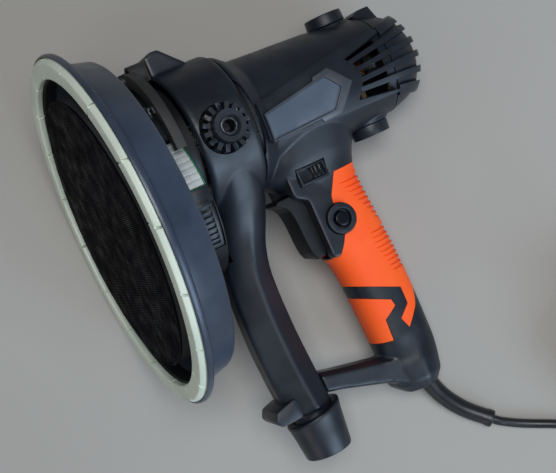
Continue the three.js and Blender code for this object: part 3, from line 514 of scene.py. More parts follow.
def level_ring(z, front, back, half, power, sides=96, faceted=0.0):
    """A level section: a rounded ellipse that can turn into a softened hexagon."""
    middle, reach = (front + back) / 2, (back - front) / 2
    corners = [(0.96, 0.5), (0.12, 1.0), (-0.93, 0.45), (-0.93, -0.45), (0.12, -1.0), (0.96, -0.5)]
    points = []
    for i in range(sides):
        t = 2 * math.pi * (i + 0.5) / sides
        c, s = math.cos(t), math.sin(t)
        oval = (abs(c) ** power + abs(s) ** power) ** (-1 / power)
        radius = oval
        if faceted:
            spread = [t + math.radians(d) for d in (-5, -2.5, 0, 2.5, 5)]
            flat = sum(hexagon_radius(corners, turn) for turn in spread) / len(spread)
            radius = oval + (flat - oval) * faceted
        points.append((middle + reach * radius * c, half * radius * s, z))
    return points


def hexagon_radius(corners, turn):
    """How far the outline reaches along a direction."""
    c, s = math.cos(turn), math.sin(turn)
    best = 9.0
    for (x0, y0), (x1, y1) in zip(corners, corners[1:] + corners[:1]):
        along = (x1 - x0) * s - (y1 - y0) * c
        if abs(along) < 1e-9:
            continue
        reach = ((x1 - x0) * y0 - (y1 - y0) * x0) / along
        share = (c * y0 - s * x0) / along
        if reach > 0 and -1e-6 <= share <= 1 + 1e-6:
            best = min(best, reach)
    return best


def handle_loft(name, inset=0.0, end_inset=None, step=2.0):
    top, bottom = HANDLE[0][0], HANDLE[-1][0]
    count = round((top - bottom) / step)
    rings = []
    for i in range(count + 1):
        z = top + (bottom - top) * i / count
        front, back, half = spline(HANDLE, z)
        if z < -156:
            front, back, half = straight(HANDLE, z)
        level = z if i < count else bottom + (inset if end_inset is None else end_inset)
        faceted = min(max((-136 - z) / 24, 0), 0.6)
        rings.append(level_ring(level, front + inset, back - inset, half - inset, 2.4, 96, faceted))
    return lofted(name, rings)


def tube_loft(name, inset=0.0, top=24.0, bottom=-152.0, step=2.5):
    count = round((top - bottom) / step)
    rings = []
    for i in range(count + 1):
        z = top + (bottom - top) * i / count
        front, back, half, faceted = spline(TUBE, z)
        rings.append(level_ring(z, front + inset, back - inset, half - inset, 2.8, 96, max(0, faceted)))
    return lofted(name, rings)


def rounded(profile, radius, steps=4):
    """A closed outline with its corners rounded."""
    count = len(profile)
    made = []
    for i, corner in enumerate(profile):
        here = Vector(corner)
        before, after = Vector(profile[i - 1]), Vector(profile[(i + 1) % count])
        to_before, to_after = before - here, after - here
        turn = to_before.angle(to_after, math.pi)
        if turn > math.radians(172) or radius < 0.05:
            made.append(tuple(here))
            continue
        run = min(radius / math.tan(turn / 2), to_before.length * 0.45, to_after.length * 0.45)
        a = here + to_before.normalized() * run
        b = here + to_after.normalized() * run
        for k in range(steps + 1):
            t = k / steps
            made.append(tuple(a * (1 - t) ** 2 + here * 2 * t * (1 - t) + b * t**2))
    return made


# ---------- pad and shroud ----------
def hook_face():
    """Black hook fabric: rows of small leaning hooks on a thin round backing."""
    backing = rounded([(0.5, 0.01), (0.5, PAD_R - 0.4), (1.8, PAD_R - 0.4), (1.8, 0.01)], 0.4)
    base = turned("hook_backing", backing, 160)
    verts, faces = [], []
    pitch, height, foot = 1.3, 0.75, 0.36
    rows = int(PAD_R / (pitch * 0.87)) + 1
    for row in range(-rows, rows + 1):
        for column in range(-rows, rows + 1):
            y = pitch * (column + 0.5 * (row % 2))
            z = pitch * 0.87 * row
            if math.hypot(y, z) > PAD_R - 0.9:
                continue
            lean = 0.45 * math.sin(row * 2.4 + column * 1.7)
            tip = 0.65 - height + 0.15 * math.cos(row * 1.3 + column * 2.1)
            first = len(verts)
            verts += [(0.7, y - foot, z - foot), (0.7, y + foot, z - foot), (0.7, y, z + foot)]
            verts.append((tip, y + lean, z + 0.35 * math.cos(row * 0.9 + column)))
            faces += [
                (first, first + 1, first + 2),
                (first, first + 3, first + 1),
                (first + 1, first + 3, first + 2),
                (first + 2, first + 3, first),
            ]
    hooks = from_faces("hooks", verts, faces)
    made = merged("hook_fabric", [base, hooks])
    place(made, "rotating_pad", HOOKS, ["hook_pad"])


def foam():
    profile = rounded([(2.1, 12), (2.1, PAD_R - 1), (11, PAD_R - 1), (11, 12)], 1.2)
    place(turned("foam_layer", profile, 128), "rotating_pad", FOAM, ["foam_pad"])


def dust_shroud():
    """Shroud with a thin rim flange round the skirt ring, a nearly straight flank and a flat back."""
    profile = [
        (3.6, RING_R + 0.4), (3.2, RING_R + 1.2), (3.6, LIP_R - 0.3), (4.4, LIP_R), (6.2, LIP_R),
        (7.4, 113.9), (8.4, 112.2), (8.8, 107), (9.4, 105.9), (27.2, 101.6), (28.6, 100.4),
        (SHROUD_BACK, 98.8), (SHROUD_BACK + 0.2, 96), (SHROUD_BACK + 1.1, 75), (SHROUD_BACK + 2, LED_R + 1),
        (SHROUD_BACK - 1.5, LED_R + 1), (SHROUD_BACK - 2.5, 93), (26, 97.4), (10.6, 103.2), (6.9, 103.8),
        (6.9, RING_R + 0.4),
    ]
    made = turned("dust_shroud", profile, 180)
    place(made, "dust_shroud", SHROUD_PLASTIC, ["shroud"], angle=30)


def skirt():
    """Rubber ring in lengths, joined at slanted slots with a hairline and a nick at the outer edge."""
    inner = RING_IN + 0.6
    section = [
        (0, inner), (0, RING_R - 2), (2.5, RING_R), (6.6, RING_R), (6.6, 106), (4.6, 106), (4.6, inner),
    ]
    made = turned("skirt_ring", rounded(section, 1.4), 216)
    cuts = [  # depth, radii from and to, half width
        (9, RING_IN - 2, RING_IN + 3.4, 0.8),
        (0.6, RING_IN + 2, RING_R - 2.6, 0.2),
        (7, RING_R - 2.4, RING_R + 2, 0.8),
    ]
    lift = Matrix.Translation((0, 0, 106))
    slant = lift @ Matrix.Rotation(math.radians(22), 4, "X") @ lift.inverted()
    for depth, low, high, half in cuts:
        cutters = []
        for i in range(SKIRT_JOINTS):
            slot = move(block("slot", (-1, -half, low), (depth, half, high)), slant)
            turn = (i + 0.5) * 360 / SKIRT_JOINTS
            cutters.append(move(slot, Matrix.Rotation(math.radians(turn), 4, "X")))
        cut(made, merged("slots", cutters))
    place(made, "dust_shroud", PALE, ["skirt_ring"], angle=30)
    behind = rounded([(4.8, RING_IN), (4.8, 103.4), (13, 101.8), (13, RING_IN)], 0.5)
    place(turned("skirt_retainer", behind, 216), "dust_shroud", DEEP_BLACK, angle=30)


# ---------- head ----------
def nose():
    """Front housing: the light ring, the hump above it and the plate that closes the gear room."""
    ring = pipe("nose", 25.5, 54.5, LED_R, 20, 96)
    hump = turned("hump", [(37, 0), (37, 29), (39.5, 31), (58, 31), (58, 0)], 96, 45)
    plate_back = pipe("plate", 54, 60.6, DRUM_R - 7.5, 0, 96, MOTOR_Z)
    made = joined(ring, hump, plate_back)
    plenum = pipe("plenum", 20, 50, LED_R - 3, 21, 96)
    seats = [
        arc("seat", LED_X0 - 0.3, LED_X1 + 0.3, LED_R - 1.8, LED_R + 6, start, end, 24)
        for start, end in ((-40, 48), (132, 220))
    ]
    bore = pipe("bore", 15, 63, 17.8, 0, 64)
    mouth = block("mouth", (49, -13, -45), (63, 13, -30))
    cut(made, plenum, bore, mouth, merged("seats", seats))
    # Two moulding steps on the hump, as rings.
    step = pipe("step", 41.5, 43, 31.6, 28, 96, 45)
    keep_up = block("keep", (30, -40, LED_R + 1.5), (60, 40, 90))
    boolean(step, keep_up, "INTERSECT")
    joined(made, step)
    bevelled(made, 0.35)
    place(made, "housing", DEEP_BLACK, ["nose_housing"])


def light_strip():
    """Lights on each side: flat frosted windows side by side, with the green board's edge behind them."""
    count, start, end = 8, 7.5, 46.3
    pitch = (end - start) / count
    windows = []
    for i in range(count):
        a = start + i * pitch + 0.35
        b = a + pitch - 0.7
        window = arc("window", LED_X0 + 0.2, LED_X1 - 0.9, LED_R - 0.2, LED_R + 1.7, a, b, 1)
        windows.append(bevelled(window, 0.25))
        rib = arc("rib", LED_X0 + 0.2, LED_X1 - 0.9, LED_R - 0.2, LED_R + 1.1, b - 0.1, b + 0.8, 1)
        windows.append(rib)
    left = merged("light_cover_left", windows)
    right = mirrored(left, "light_cover_right")
    edge_left = arc("board_edge_left", LED_X1 - 0.7, LED_X1 - 0.1, LED_R - 0.3, LED_R + 2.0, start, end, 24)
    edge_right = mirrored(edge_left, "board_edge_right")
    place(left, "housing", DIFFUSER, ["led_cover_left"])
    place(right, "housing", DIFFUSER, ["led_cover_right"])
    place(edge_left, "housing", BOARD)
    place(edge_right, "housing", BOARD)


def side_vents():
    """A louvred block below each light strip, with a smooth cap over it."""
    body = arc("side_vent_left", LED_X0, LED_X1 - 3, LED_R - 1.4, LED_R + 5, -34, -3, 16)
    cap = arc("cap", LED_X0, LED_X1, LED_R - 1.4, LED_R + 3.0, -3.6, 6.4, 8)
    joined(body, cap)
    window = arc("window", LED_X0 + 1.6, LED_X1 - 4.6, LED_R + 3.4, LED_R + 9, -31.5, -6, 16)
    cut(body, window)
    ribs = [
        arc("rib", LED_X0 + 1.4, LED_X1 - 4.4, LED_R + 2, LED_R + 4.7, -29.6 + 3.9 * i, -28.2 + 3.9 * i, 1)
        for i in range(6)
    ]
    joined(body, merged("ribs", ribs))
    bevelled(body, 0.3)
    right = mirrored(body, "side_vent_right")
    place(body, "housing", CHARCOAL, ["side_vent_left"])
    place(right, "housing", CHARCOAL, ["side_vent_right"])


def bracket():
    """Coarse curved bracket with an eye, in front of the head."""
    bow = pipe("shroud_bracket", BRACKET_X, BRACKET_X + 6, 55, 46.6, 128, MOTOR_Z)
    crescent = turned("crescent", [(40, 0), (40, 47.5), (60, 47.5), (60, 0)], 128, MOTOR_Z - 1.4)
    lower = block("lower", (40, -70, -40), (60, 70, MOTOR_Z - 1))
    cut(bow, crescent, lower)
    strap = block("strap", (BRACKET_X + 5, -12, 77), (DRUM_FRONT - 0.3, 12, 86))
    eye = rod("eye", (BRACKET_X + 4, -9, 83), (BRACKET_X + 13, -9, 83), 6.5, 64)
    joined(bow, strap, eye)
    hole = rod("hole", (BRACKET_X - 1, -9, 83), (BRACKET_X + 10, -9, 83), 3.3, 48)
    pocket = rod("pocket", (BRACKET_X - 1, -9, 83), (BRACKET_X + 5.2, -9, 83), 4.8, 48)
    cut(bow, hole, pocket)
    bevelled(bow, 0.5)
    place(bow, "housing", ROUGH_BLACK, ["shroud_bracket"])


def head_shell():
    """Gear head and suction duct, moulded as one casing in two halves."""
    profile = [
        (DRUM_FRONT, 0), (DRUM_FRONT, 45.6), (62.2, 47.4), (64.5, DRUM_R),
        (95.5, DRUM_R), (97.6, 47), (DRUM_BACK, 45.5), (DRUM_BACK, 0),
    ]
    drum = turned("drum", profile, 160, MOTOR_Z)
    hook_outline = rounded([(62, -138.5), (46.6, -142), (43.8, -147.4), (46.4, -151.9), (62, -151.9)], 3)
    hook = plate("hook", hook_outline, -15, 15)
    ear = plate("ear", [(61, 74), (61, 90), (66, 92.5), (71, 92), (84, 79.5), (84, 74)], -14, 14)
    spigot = rod("spigot", (SPIGOT_X, 0, -148), (SPIGOT_X, 0, -168), 13.6, 64)
    made = merged("head", [drum, tube_loft("tube"), spigot, ear])
    fused(made, 0.9, 4)
    joined(made, bevelled(hook, 0.8))
    gear_room = pipe("gear_room", 60, 99, DRUM_R - 3, 0, 96, MOTOR_Z)
    low_room = tube_loft("low_room", 3.2, 22, -29)
    duct = tube_loft("duct", 3, -40, -151)
    outlet = rod("outlet", (SPIGOT_X, 0, -146), (SPIGOT_X, 0, -170), 11.6, 48)
    mouth = block("mouth", (50, -13, -45), (76, 13, -33))
    holes = rod("boss_holes", (BOSS_X, -70, MOTOR_Z), (BOSS_X, 70, MOTOR_Z), TEETH_R + 0.6, 64)
    cut(made, gear_room, low_room, duct, outlet, mouth, holes, side_slots())
    left, right = halves(made)
    place(left, "housing", CHARCOAL, ["head_shell_left"], angle=32)
    place(right, "housing", CHARCOAL, ["head_shell_right"], angle=32)


def side_bosses():
    """Toothed boss for the auxiliary handle: square teeth round a plain round face."""
    inner = -(DRUM_R - 2.8)
    base = rod("side_boss_left", (BOSS_X, inner, MOTOR_Z), (BOSS_X, -50.2, MOTOR_Z), 10.9, 96)
    neck = rod("neck", (BOSS_X, inner, MOTOR_Z), (BOSS_X, -BOSS_FACE, MOTOR_Z), BOSS_R, 96)
    teeth = []
    for i in range(16):
        tooth = block("tooth", (10.2, -53.8, -1.4), (TEETH_R, inner, 1.4))
        spin = Matrix.Translation((BOSS_X, 0, MOTOR_Z)) @ Matrix.Rotation(2 * math.pi * i / 16, 4, "Y")
        teeth.append(move(tooth, spin))
    joined(base, neck, merged("teeth", teeth))
    bore = rod("bore", (BOSS_X, -40, MOTOR_Z), (BOSS_X, -62, MOTOR_Z), 5.5, 64)
    dish = rod("dish", (BOSS_X, -BOSS_FACE + 1.2, MOTOR_Z), (BOSS_X, -60.2, MOTOR_Z), 5.5, 64, 6.8)
    cut(base, bore, dish)
    bevelled(base, 0.35, 2, 40)
    right = mirrored(base, "side_boss_right")
    place(base, "housing", CHARCOAL, ["side_boss_left"])
    place(right, "housing", CHARCOAL, ["side_boss_right"])
    face = (BOSS_X, -BOSS_FACE + 1.5, MOTOR_Z)
    insert = rod("handle_insert_left", (BOSS_X, inner, MOTOR_Z), face, 5.35, 64)
    thread = threaded_bore(-BOSS_FACE - 1, -46.5, 3.9)
    cut(insert, thread)
    bevelled(insert, 0.25, 2, 50)
    right = mirrored(insert, "handle_insert_right")
    place(right, "housing", BLACK_STEEL, ["handle_insert_right"])
    place(insert, "housing", BLACK_STEEL, ["handle_insert_left"])


def threaded_bore(start, end, radius, pitch=1.25, sides=40):
    """A bore along Y with ring grooves that read as a thread."""
    rings = []
    count = round(abs(end - start) / (pitch / 4))
    for i in range(count + 1):
        y = start + (end - start) * i / count
        wave = (0.0, 0.32, 0.0, -0.32)[i % 4]
        reach = radius + (wave if i > 4 else 0.2)
        turns = full_turn(sides)
        rings.append([(BOSS_X + reach * math.cos(t), y, MOTOR_Z + reach * math.sin(t)) for t in turns])
    return lofted("thread", rings)


def hose_collar():
    """Bayonet collar with a slanted rim."""
    stations = [  # z, radius, how much the level slants
        (-155.4, 18.9, 0.16),
        (-157.4, 18.9, 0.16),
        (-158.8, 18.4, 0.14),
        (-168, 17.2, 0.05),
        (-181.8, 15.7, 0),
        (-183, 15.2, 0),
    ]
    turns = full_turn(96)
    rings = []
    for z, radius, slant in stations:
        round_points = [(radius * math.cos(t), radius * math.sin(t)) for t in turns]
        rings.append([(SPIGOT_X + x, y, z + slant * x) for x, y in round_points])
    made = lofted("hose_collar", rings)
    bore = rod("bore", (SPIGOT_X, 0, -140), (SPIGOT_X, 0, -190), 13.95, 64)
    cut(made, bore)
    bevelled(made, 0.4)
    place(made, "hose_collar", CHARCOAL, ["hose_collar"])


# ---------- motor housing ----------
BARREL = [  # x, radius
    (BARREL_FRONT, 45.5), (102, 45), (106, 42), (111, 38.6), (130, 37.8), (165, 36.7),
    (COVER_X, REAR_R + 0.2),
]


def barrel(name, inset=0.0, front=BARREL_FRONT, back=COVER_X):
    wall = [(max(x, front), r - inset) for x, r in BARREL]
    return turned(name, [(front, 0), *wall, (back, REAR_R - inset), (back, 0)], 160, MOTOR_Z)


def grip_band():
    """The orange patches' outlines as (x, z) points: above the black band and inside it."""
    upper = [
        (143, -20), (180, -20), (180, -102), (171, -103), (167.5, -111), (162, -121.5), (150.5, -132.5),
        (147.6, -125), (156.3, -118), (156.3, -106.5), (119, -89), (105, -84), (105, -73), (117, -73),
        (122, -72.6), (127, -70), (131, -66), (134, -60), (135.6, -54), (135.6, -44), (134.6, -38),
        (135.4, -33.5),
    ]
    lower = [
        (104, -92), (119, -97.5), (146.2, -111), (147.2, -115.5),
        (137.8, -121.5), (137.4, -136), (121, -134), (104, -130),
    ]
    return upper, lower


def grown(outline, amount):
    """An outline pushed outwards."""
    area = sum(a[0] * b[1] - b[0] * a[1] for a, b in zip(outline, outline[1:] + outline[:1]))
    sign = 1 if area > 0 else -1
    made = []
    count = len(outline)
    for i, (x, z) in enumerate(outline):
        (x0, z0), (x1, z1) = outline[i - 1], outline[(i + 1) % count]
        a = Vector((z - z0, x0 - x)).normalized() * sign
        b = Vector((z1 - z, x - x1)).normalized() * sign
        push = (a + b) * (amount / max(0.35, 1 + a.dot(b)))
        made.append((x + push.x, z + push.y))
    return made


def fan_height(line, x):
    """Height of a fan line at x."""
    front, low, high = line[:3]
    return low + (x - front) * (high - low) / (FAN_END - front)


def fan_ribs(name, lines, profile):
    """Ribs on both sides along fan lines, out to a profile about the motor axis."""
    plates = []
    for line in lines:
        front, half = line[0], line[3] / 2
        back, wide = REAR_X + 4, max(half, 2.1)
        a, b = fan_height(line, front), fan_height(line, back)
        outline = [(front, a - half), (back, b - wide), (back, b + wide), (front, a + half)]
        plates.append(plate("rib", outline, -60, 60))
    made = turned(name, profile, 120, MOTOR_Z)
    return boolean(made, merged("ribs", plates), "INTERSECT")


def vent_cutters():
    """Vents through both sides of the barrel, between the ribs."""
    slots = []
    for high, low in zip(FAN, FAN[1:]):
        front = max(high[0], low[0]) + 1
        outline = [
            (front, fan_height(low, front) + 1.5),
            (VENT_END, fan_height(low, VENT_END) + 1.7),
            (VENT_END, fan_height(high, VENT_END) - 1.7),
            (front, fan_height(high, front) - 1.5),
        ]
        slots += [plate("vent", outline, 20, 60), plate("vent", outline, -60, -20)]
    return merged("vents", slots)


def vent_field():
    """The dished field that the ribs stand in."""
    outline = [
        (172.5, 41.6), (205.8, 49.4), (205.8, 10.4), (172.5, 14.6),
        (176.6, 21), (180.5, 27), (179.5, 33), (176.5, 38.6),
    ]
    skin = barrel("skin", -6, 165, COVER_X + 1)
    sides = [plate("right", outline, 15, 60), plate("left", outline, -60, -15)]
    boolean(skin, merged("sides", sides), "INTERSECT")
    return cut(skin, barrel("core", 0.7, 160, COVER_X + 2))


def flat_side(name, outline, proud):
    """A field on each side of the barrel, flatter than the barrel and proud of it, over an outline."""
    profile = [(100, 0)] + [(max(x, 100), 22.4 + r + proud) for x, r in BARREL] + [(COVER_X, 0)]
    left = turned(name, profile, 240, 30)
    move(left, Matrix.Translation((0, 22.4, 0)))
    boolean(left, plate("patch", outline, -60, -15), "INTERSECT")
    return merged(name, [mirrored(left, name), left])


def name_panel(made):
    """Flat field on each side, with the arrow-shaped seat for the border and the plaque."""
    field = [
        (104, 37.8), (110, 38.9), (197, 54), (204.6, 52.4), (204.6, 9), (198, 9.4), (112, 11.4), (104, 14),
    ]
    joined(made, bevelled(flat_side("field", rounded(field, 1.2), 1.5), 0.9, 2, 50))
    seat = flat_side("seat", grown(BORDER, 0.12), 4)
    return cut(made, cut(seat, barrel("floor", -0.5, 100, COVER_X)))


def side_slots():
    """Cutter for the long slot on each side where the drum meets the barrel."""
    corners = [
        (99.2, 58), (101.4, 50), (102.4, 40), (102.6, 30), (102, 18),
        (99.8, 6), (97.2, 14), (96.2, 28), (96.2, 44), (97.2, 52),
    ]
    outline = rounded(corners, 2)
    ring = pipe("slots", 94, 105, 60, 42.3, 96, MOTOR_Z)
    sides = [plate("right", outline, 20, 60), plate("left", outline, -60, -20)]
    return boolean(ring, merged("sides", sides), "INTERSECT")


def slot_webs():
    """Webs seen in the slot between the drum and the barrel, all round."""
    webs = []
    for i in range(24):
        web = block("web", (95.4, -0.5, MOTOR_Z + 39), (103, 0.5, MOTOR_Z + 42.4))
        webs.append(move(web, about_motor(15 * i)))
    made = joined(pipe("slot_webs", 95.4, 103, 41.2, 39.4, 96, MOTOR_Z), merged("webs", webs))
    bevelled(made, 0.2)
    # Deep black, darker than the housing round it: painted shade deep in the slot, on the webs and on the
    # ring that floors the slot.
    place(made, "housing", DEEP_BLACK)


def plaque():
    """Arrow-shaped raised border and the smooth grey plaque in it, without any lettering."""
    border = flat_side("side_borders", BORDER, 2.9)
    cut(border, barrel("room", -0.6, 100, COVER_X), flat_side("inside", PLAQUE, 5))
    bevelled(border, 0.55, 2, 40)
    place(border, "housing", BORDER_GREY)
    made = flat_side("side_plaques", grown(PLAQUE, -0.12), 1.5)
    cut(made, barrel("room", -0.6, 100, COVER_X))
    place(made, "housing", PANEL_GREY)


def cheeks():
    """Flat cheeks of the housing round the light switch and the lock button."""
    outline = [
        (112, -6), (142, -6), (145, -20), (136, -32), (134.4, -40), (134.4, -56),
        (131, -64), (126, -70.5), (120.5, -70.5), (120, -30), (112, -25),
    ]
    return plate("cheeks", rounded(outline, 3), -21, 21)


def motor_housing():
    """Motor body and D-handle, moulded as one casing in two halves, with the soft grip let into it."""
    bosses = rod("bosses", (BRUSH_X, 0, MOTOR_Z - 34.8), (BRUSH_X, 0, MOTOR_Z + 34.8), CAP_R + 0.8, 64)
    arm = lofted("arm", arm_rings())
    made = merged("motor_housing", [barrel("barrel"), handle_loft("handle"), bosses, cheeks(), arm])
    fused(made, 0.85, 4)
    outer_grip = bpy.data.objects.new("outer_grip", made.data.copy())
    bpy.context.scene.collection.objects.link(outer_grip)

    name_panel(made)
    cut(made, vent_field())
    rib_profile = [(169, 0), (169, 37.3), (175, 37.8), (COVER_X, REAR_R + 2.1), (COVER_X, 0)]
    joined(made, fan_ribs("ribs", FAN[1:-1], rib_profile))

    upper, lower = grip_band()
    recess = merged("recess", [plate("patch", grown(p, 0.28), -60, 60) for p in (upper, lower)])
    cut(recess, handle_loft("core", 1.9))
    cut(made, recess)

    room = barrel("room", 3, BARREL_FRONT - 1, COVER_X + 1)
    handle_room = handle_loft("handle_room", 4.4, 3)
    cut(made, room, handle_room, vent_cutters(), side_slots())
    button_hole = rod("button_hole", (BUTTON_X, -40, BUTTON_Z), (BUTTON_X, -14, BUTTON_Z), 10.4, 64)
    slide_low, slide_high = (SLIDE_X - 10.4, -40, SLIDE_Z - 5.9), (SLIDE_X + 10.4, -16, SLIDE_Z + 5.9)
    slide_hole = block("slide_hole", slide_low, slide_high)
    cord_hole = rod("cord_hole", (151.9, 0, -160), (157.6, 0, -186), 6.9, 48)
    slot_half = TRIGGER_HALF + 0.6
    trigger_slot = block("trigger_slot", (100, -slot_half, -71), (130, slot_half, -21.8))
    caps = [
        rod("cap_seat", (BRUSH_X, 0, MOTOR_Z + s * 34.8), (BRUSH_X, 0, MOTOR_Z + s * 50), CAP_R + 0.6, 64)
        for s in (-1, 1)
    ]
    bores = rod("bores", (BRUSH_X, 0, MOTOR_Z - 50), (BRUSH_X, 0, MOTOR_Z + 50), 8.3, 48)
    holes = [button_hole, slide_hole, cord_hole, trigger_slot]
    cut(made, merged("holes", holes), merged("caps", caps), bores)
    left, right = halves(made)
    place(left, "housing", CHARCOAL, ["motor_housing_left"], angle=28)
    place(right, "housing", CHARCOAL, ["motor_housing_right"], angle=28)
    grips(outer_grip, upper, lower)


def arm_rings():
    """The bar from the handle's foot to the duct: a tall section with a flat face on each side."""
    stations = [  # x, top, bottom, half width
        (84.4, -133.4, -147.4, 9.6),
        (96, -136.6, -150.8, 10),
        (126, -143.8, -161.5, 11.5),
        (143, -147.5, -171, 14.5),
    ]
    rings = []
    for x, top, bottom, half in stations:
        rings.append(
            [
                (x, -half * 0.6, top),
                (x, half * 0.6, top),
                (x, half, top - 3),
                (x, half, bottom + 1.5),
                (x, half * 0.7, bottom),
                (x, -half * 0.7, bottom),
                (x, -half, bottom + 1.5),
                (x, -half, top - 3),
            ]
        )
    return rings


def grips(outer, upper, lower):
    """Orange soft grip: patches that follow the handle, ribbed along the back."""
    patches = merged("patches", [plate("patch", p, -60, 60) for p in (upper, lower)])
    boolean(outer, patches, "INTERSECT")
    cut(outer, handle_loft("core", 1.7))
    ribs = [rib_groove(-28.5 - 3.7 * i, 84 - 4.5 * i) for i in range(9)]
    ribs += [rib_groove(-66 - 3.5 * i, 80 - abs(i - 3) * 2) for i in range(9)]
    for group in range(2):
        cut(outer, merged("ribs", ribs[group::2]))
    cut(outer, rod("button_hole", (BUTTON_X, -40, BUTTON_Z), (BUTTON_X, -12, BUTTON_Z), 10.5, 64))
    left, right = halves(outer)
    left.name, right.name = "orange_grip_left", "orange_grip_right"
    place(left, "housing", ORANGE, ["grip_left"], angle=32)
    place(right, "housing", ORANGE, ["grip_right"], angle=32)


def rib_groove(z, reach):
    """A groove round the back of the grip, `reach` degrees to each side, that runs out at its ends."""
    front, back, half = spline(HANDLE, z)
    middle, deep = (front + back) / 2, (back - front) / 2
    rings = []
    steps = 20
    for i in range(steps + 1):
        share = -1 + 2 * i / steps
        t = math.radians(reach * share)
        c, s = math.cos(t), math.sin(t)
        radius = (abs(c) ** 2.4 + abs(s) ** 2.4) ** (-1 / 2.4)
        x, y = middle + deep * radius * c, half * radius * s
        size = 1.2 * (1 - share**8) + 0.1
        turns = full_turn(10)
        rings.append(
            [(x + size * math.cos(k) * c, y + size * math.cos(k) * s, z + size * math.sin(k)) for k in turns]
        )
    return lofted("rib", rings)


def rear_cover():
    """Domed cover: the fan of ribs wraps round it, with slots between them at the back and a lug on top."""
    front = COVER_X + 0.12
    dome = [
        (front, 0), (front, 33.2), (212, 31.9), (220, 29.4), (226, 26.2),
        (229.6, 21.5), (231.4, 16), (REAR_X, 11), (REAR_X, 0),
    ]
    rib_profile = [
        (front, 0), (front, REAR_R + 2.1), (213, 34.3), (221, 31.6), (227, 28.6),
        (231.4, 23.4), (233.6, 17), (234.4, 11), (234.4, 0),
    ]
    made = turned("rear_cover", dome, 160, MOTOR_Z)
    joined(made, fan_ribs("ribs", FAN, rib_profile))
    lug_outline = [
        (204.6, 60), (204.2, 66.2), (209, 68.5), (217.4, 68.7), (221.5, 58), (221.5, 52), (207, 52),
    ]
    lug = plate("lug", lug_outline, -9, 9)
    seat = barrel("seat", -0.3, 190, COVER_X + 0.2)
    joined(made, cut(lug, seat))
    room = turned("room", [(205, 0), (205, 30), (212, 28.7), (224, 23.6), (229, 12), (229, 0)], 96, MOTOR_Z)
    slots = [block("slot", (224, -10, z - 2.8), (REAR_X + 4, 10, z + 2.8)) for z in (22.6, 32.5, 42.3)]
    cut(made, room, merged("slots", slots))
    bevelled(made, 0.3)
    place(made, "housing", CHARCOAL, ["rear_cover"])


def brush_caps():
    """Slotted screw caps over the carbon brushes, above and below the motor."""
    for end, side in (("top", 1), ("bottom", -1)):
        base = (BRUSH_X, 0, MOTOR_Z + side * 35.1)
        top = (BRUSH_X, 0, MOTOR_Z + side * CAP_TOP)
        made = rod(f"brush_cap_{end}", base, top, CAP_R, 96, CAP_R - 0.5)
        low = min(MOTOR_Z + side * (CAP_TOP - 1.6), MOTOR_Z + side * (CAP_TOP + 2))
        slot = block("slot", (BRUSH_X - 1, -9, low), (BRUSH_X + 1, 9, low + 3.6))
        neck = rod("neck", (BRUSH_X, 0, MOTOR_Z + side * 27), (BRUSH_X, 0, MOTOR_Z + side * 36), 8, 48)
        joined(cut(made, slot), neck)
        bevelled(made, 0.5, 3)
        place(made, "housing", CHARCOAL, [f"brush_cap_{end}"])


# ---------- controls ----------
def trigger():
    """Finger trigger: flat sides, a hollowed front and a pointed beak at the top."""
    front = [
        (101.4, -25.2), (103.8, -26.6), (106.8, -28.8), (109, -32), (110.1, -37), (110.6, -44), (110.9, -52),
        (111.3, -58), (112, -62.5), (113.6, -66), (115.8, -67.3),
    ]
    back = [
        (119.4, -66.8), (122.2, -63), (122, -44), (124, -36), (127, -31), (126.6, -24.4), (124.5, -23.4),
        (104, -23.4),
    ]
    made = plate("trigger", rounded(front + back, 0.8), -TRIGGER_HALF, TRIGGER_HALF)
    bevelled(made, 1.2, 4, 60)
    place(made, "trigger", DEEP_BLACK, ["trigger"])


def lock_button():
    """Lock-on button in its round collar, on the left side only."""
    face = -23.8
    collar = rod("button_collar", (BUTTON_X, -15.6, BUTTON_Z), (BUTTON_X, face, BUTTON_Z), 10.1, 96, 9.8)
    well = rod("well", (BUTTON_X, face + 3, BUTTON_Z), (BUTTON_X, face - 1, BUTTON_Z), 6.0, 64, 6.6)
    bore = rod("bore", (BUTTON_X, -10, BUTTON_Z), (BUTTON_X, -30, BUTTON_Z), 5.05, 64)
    cut(collar, well, bore)
    bevelled(collar, 0.5, 3)
    place(collar, "housing", CHARCOAL, ["button_collar"])
    rings = []
    for y, radius in ((-13.6, 4.7), (-23.8, 4.7), (-24.4, 4.4), (-24.58, 3.8), (-24.5, 2.4), (-24.45, 0.8)):
        turns = full_turn(48)
        rings.append([(BUTTON_X + radius * math.cos(t), y, BUTTON_Z + radius * math.sin(t)) for t in turns])
    place(lofted("lock_button", rings), "lock_button", GLOSS_BLACK, ["lock_button"])


def light_switch():
    """Slide switch for the light strip: a frame and a grooved knob, on the left side only."""
    low, high = (SLIDE_X - 10.1, -24.4, SLIDE_Z - 5.6), (SLIDE_X + 10.1, -17, SLIDE_Z + 5.6)
    frame_piece = block("light_switch_frame", low, high)
    window = block("window", (SLIDE_X - 8.3, -30, SLIDE_Z - 3.9), (SLIDE_X + 8.3, -20.2, SLIDE_Z + 3.9))
    cut(frame_piece, window)
    bevelled(frame_piece, 0.5, 3)
    place(frame_piece, "housing", CHARCOAL, ["light_switch_frame"])
    knob_low, knob_high = (SLIDE_X + 0.2, -23.8, SLIDE_Z - 3.6), (SLIDE_X + 8, -20.5, SLIDE_Z + 3.6)
    knob = block("light_switch_knob", knob_low, knob_high)
    for place_x in (SLIDE_X + 2.2, SLIDE_X + 5.2):
        cut(knob, block("groove", (place_x, -25, SLIDE_Z - 5), (place_x + 0.7, -23.2, SLIDE_Z + 5)))
    bevelled(knob, 0.25)
    place(knob, "light_switch", GLOSS_BLACK, ["light_switch_knob"])


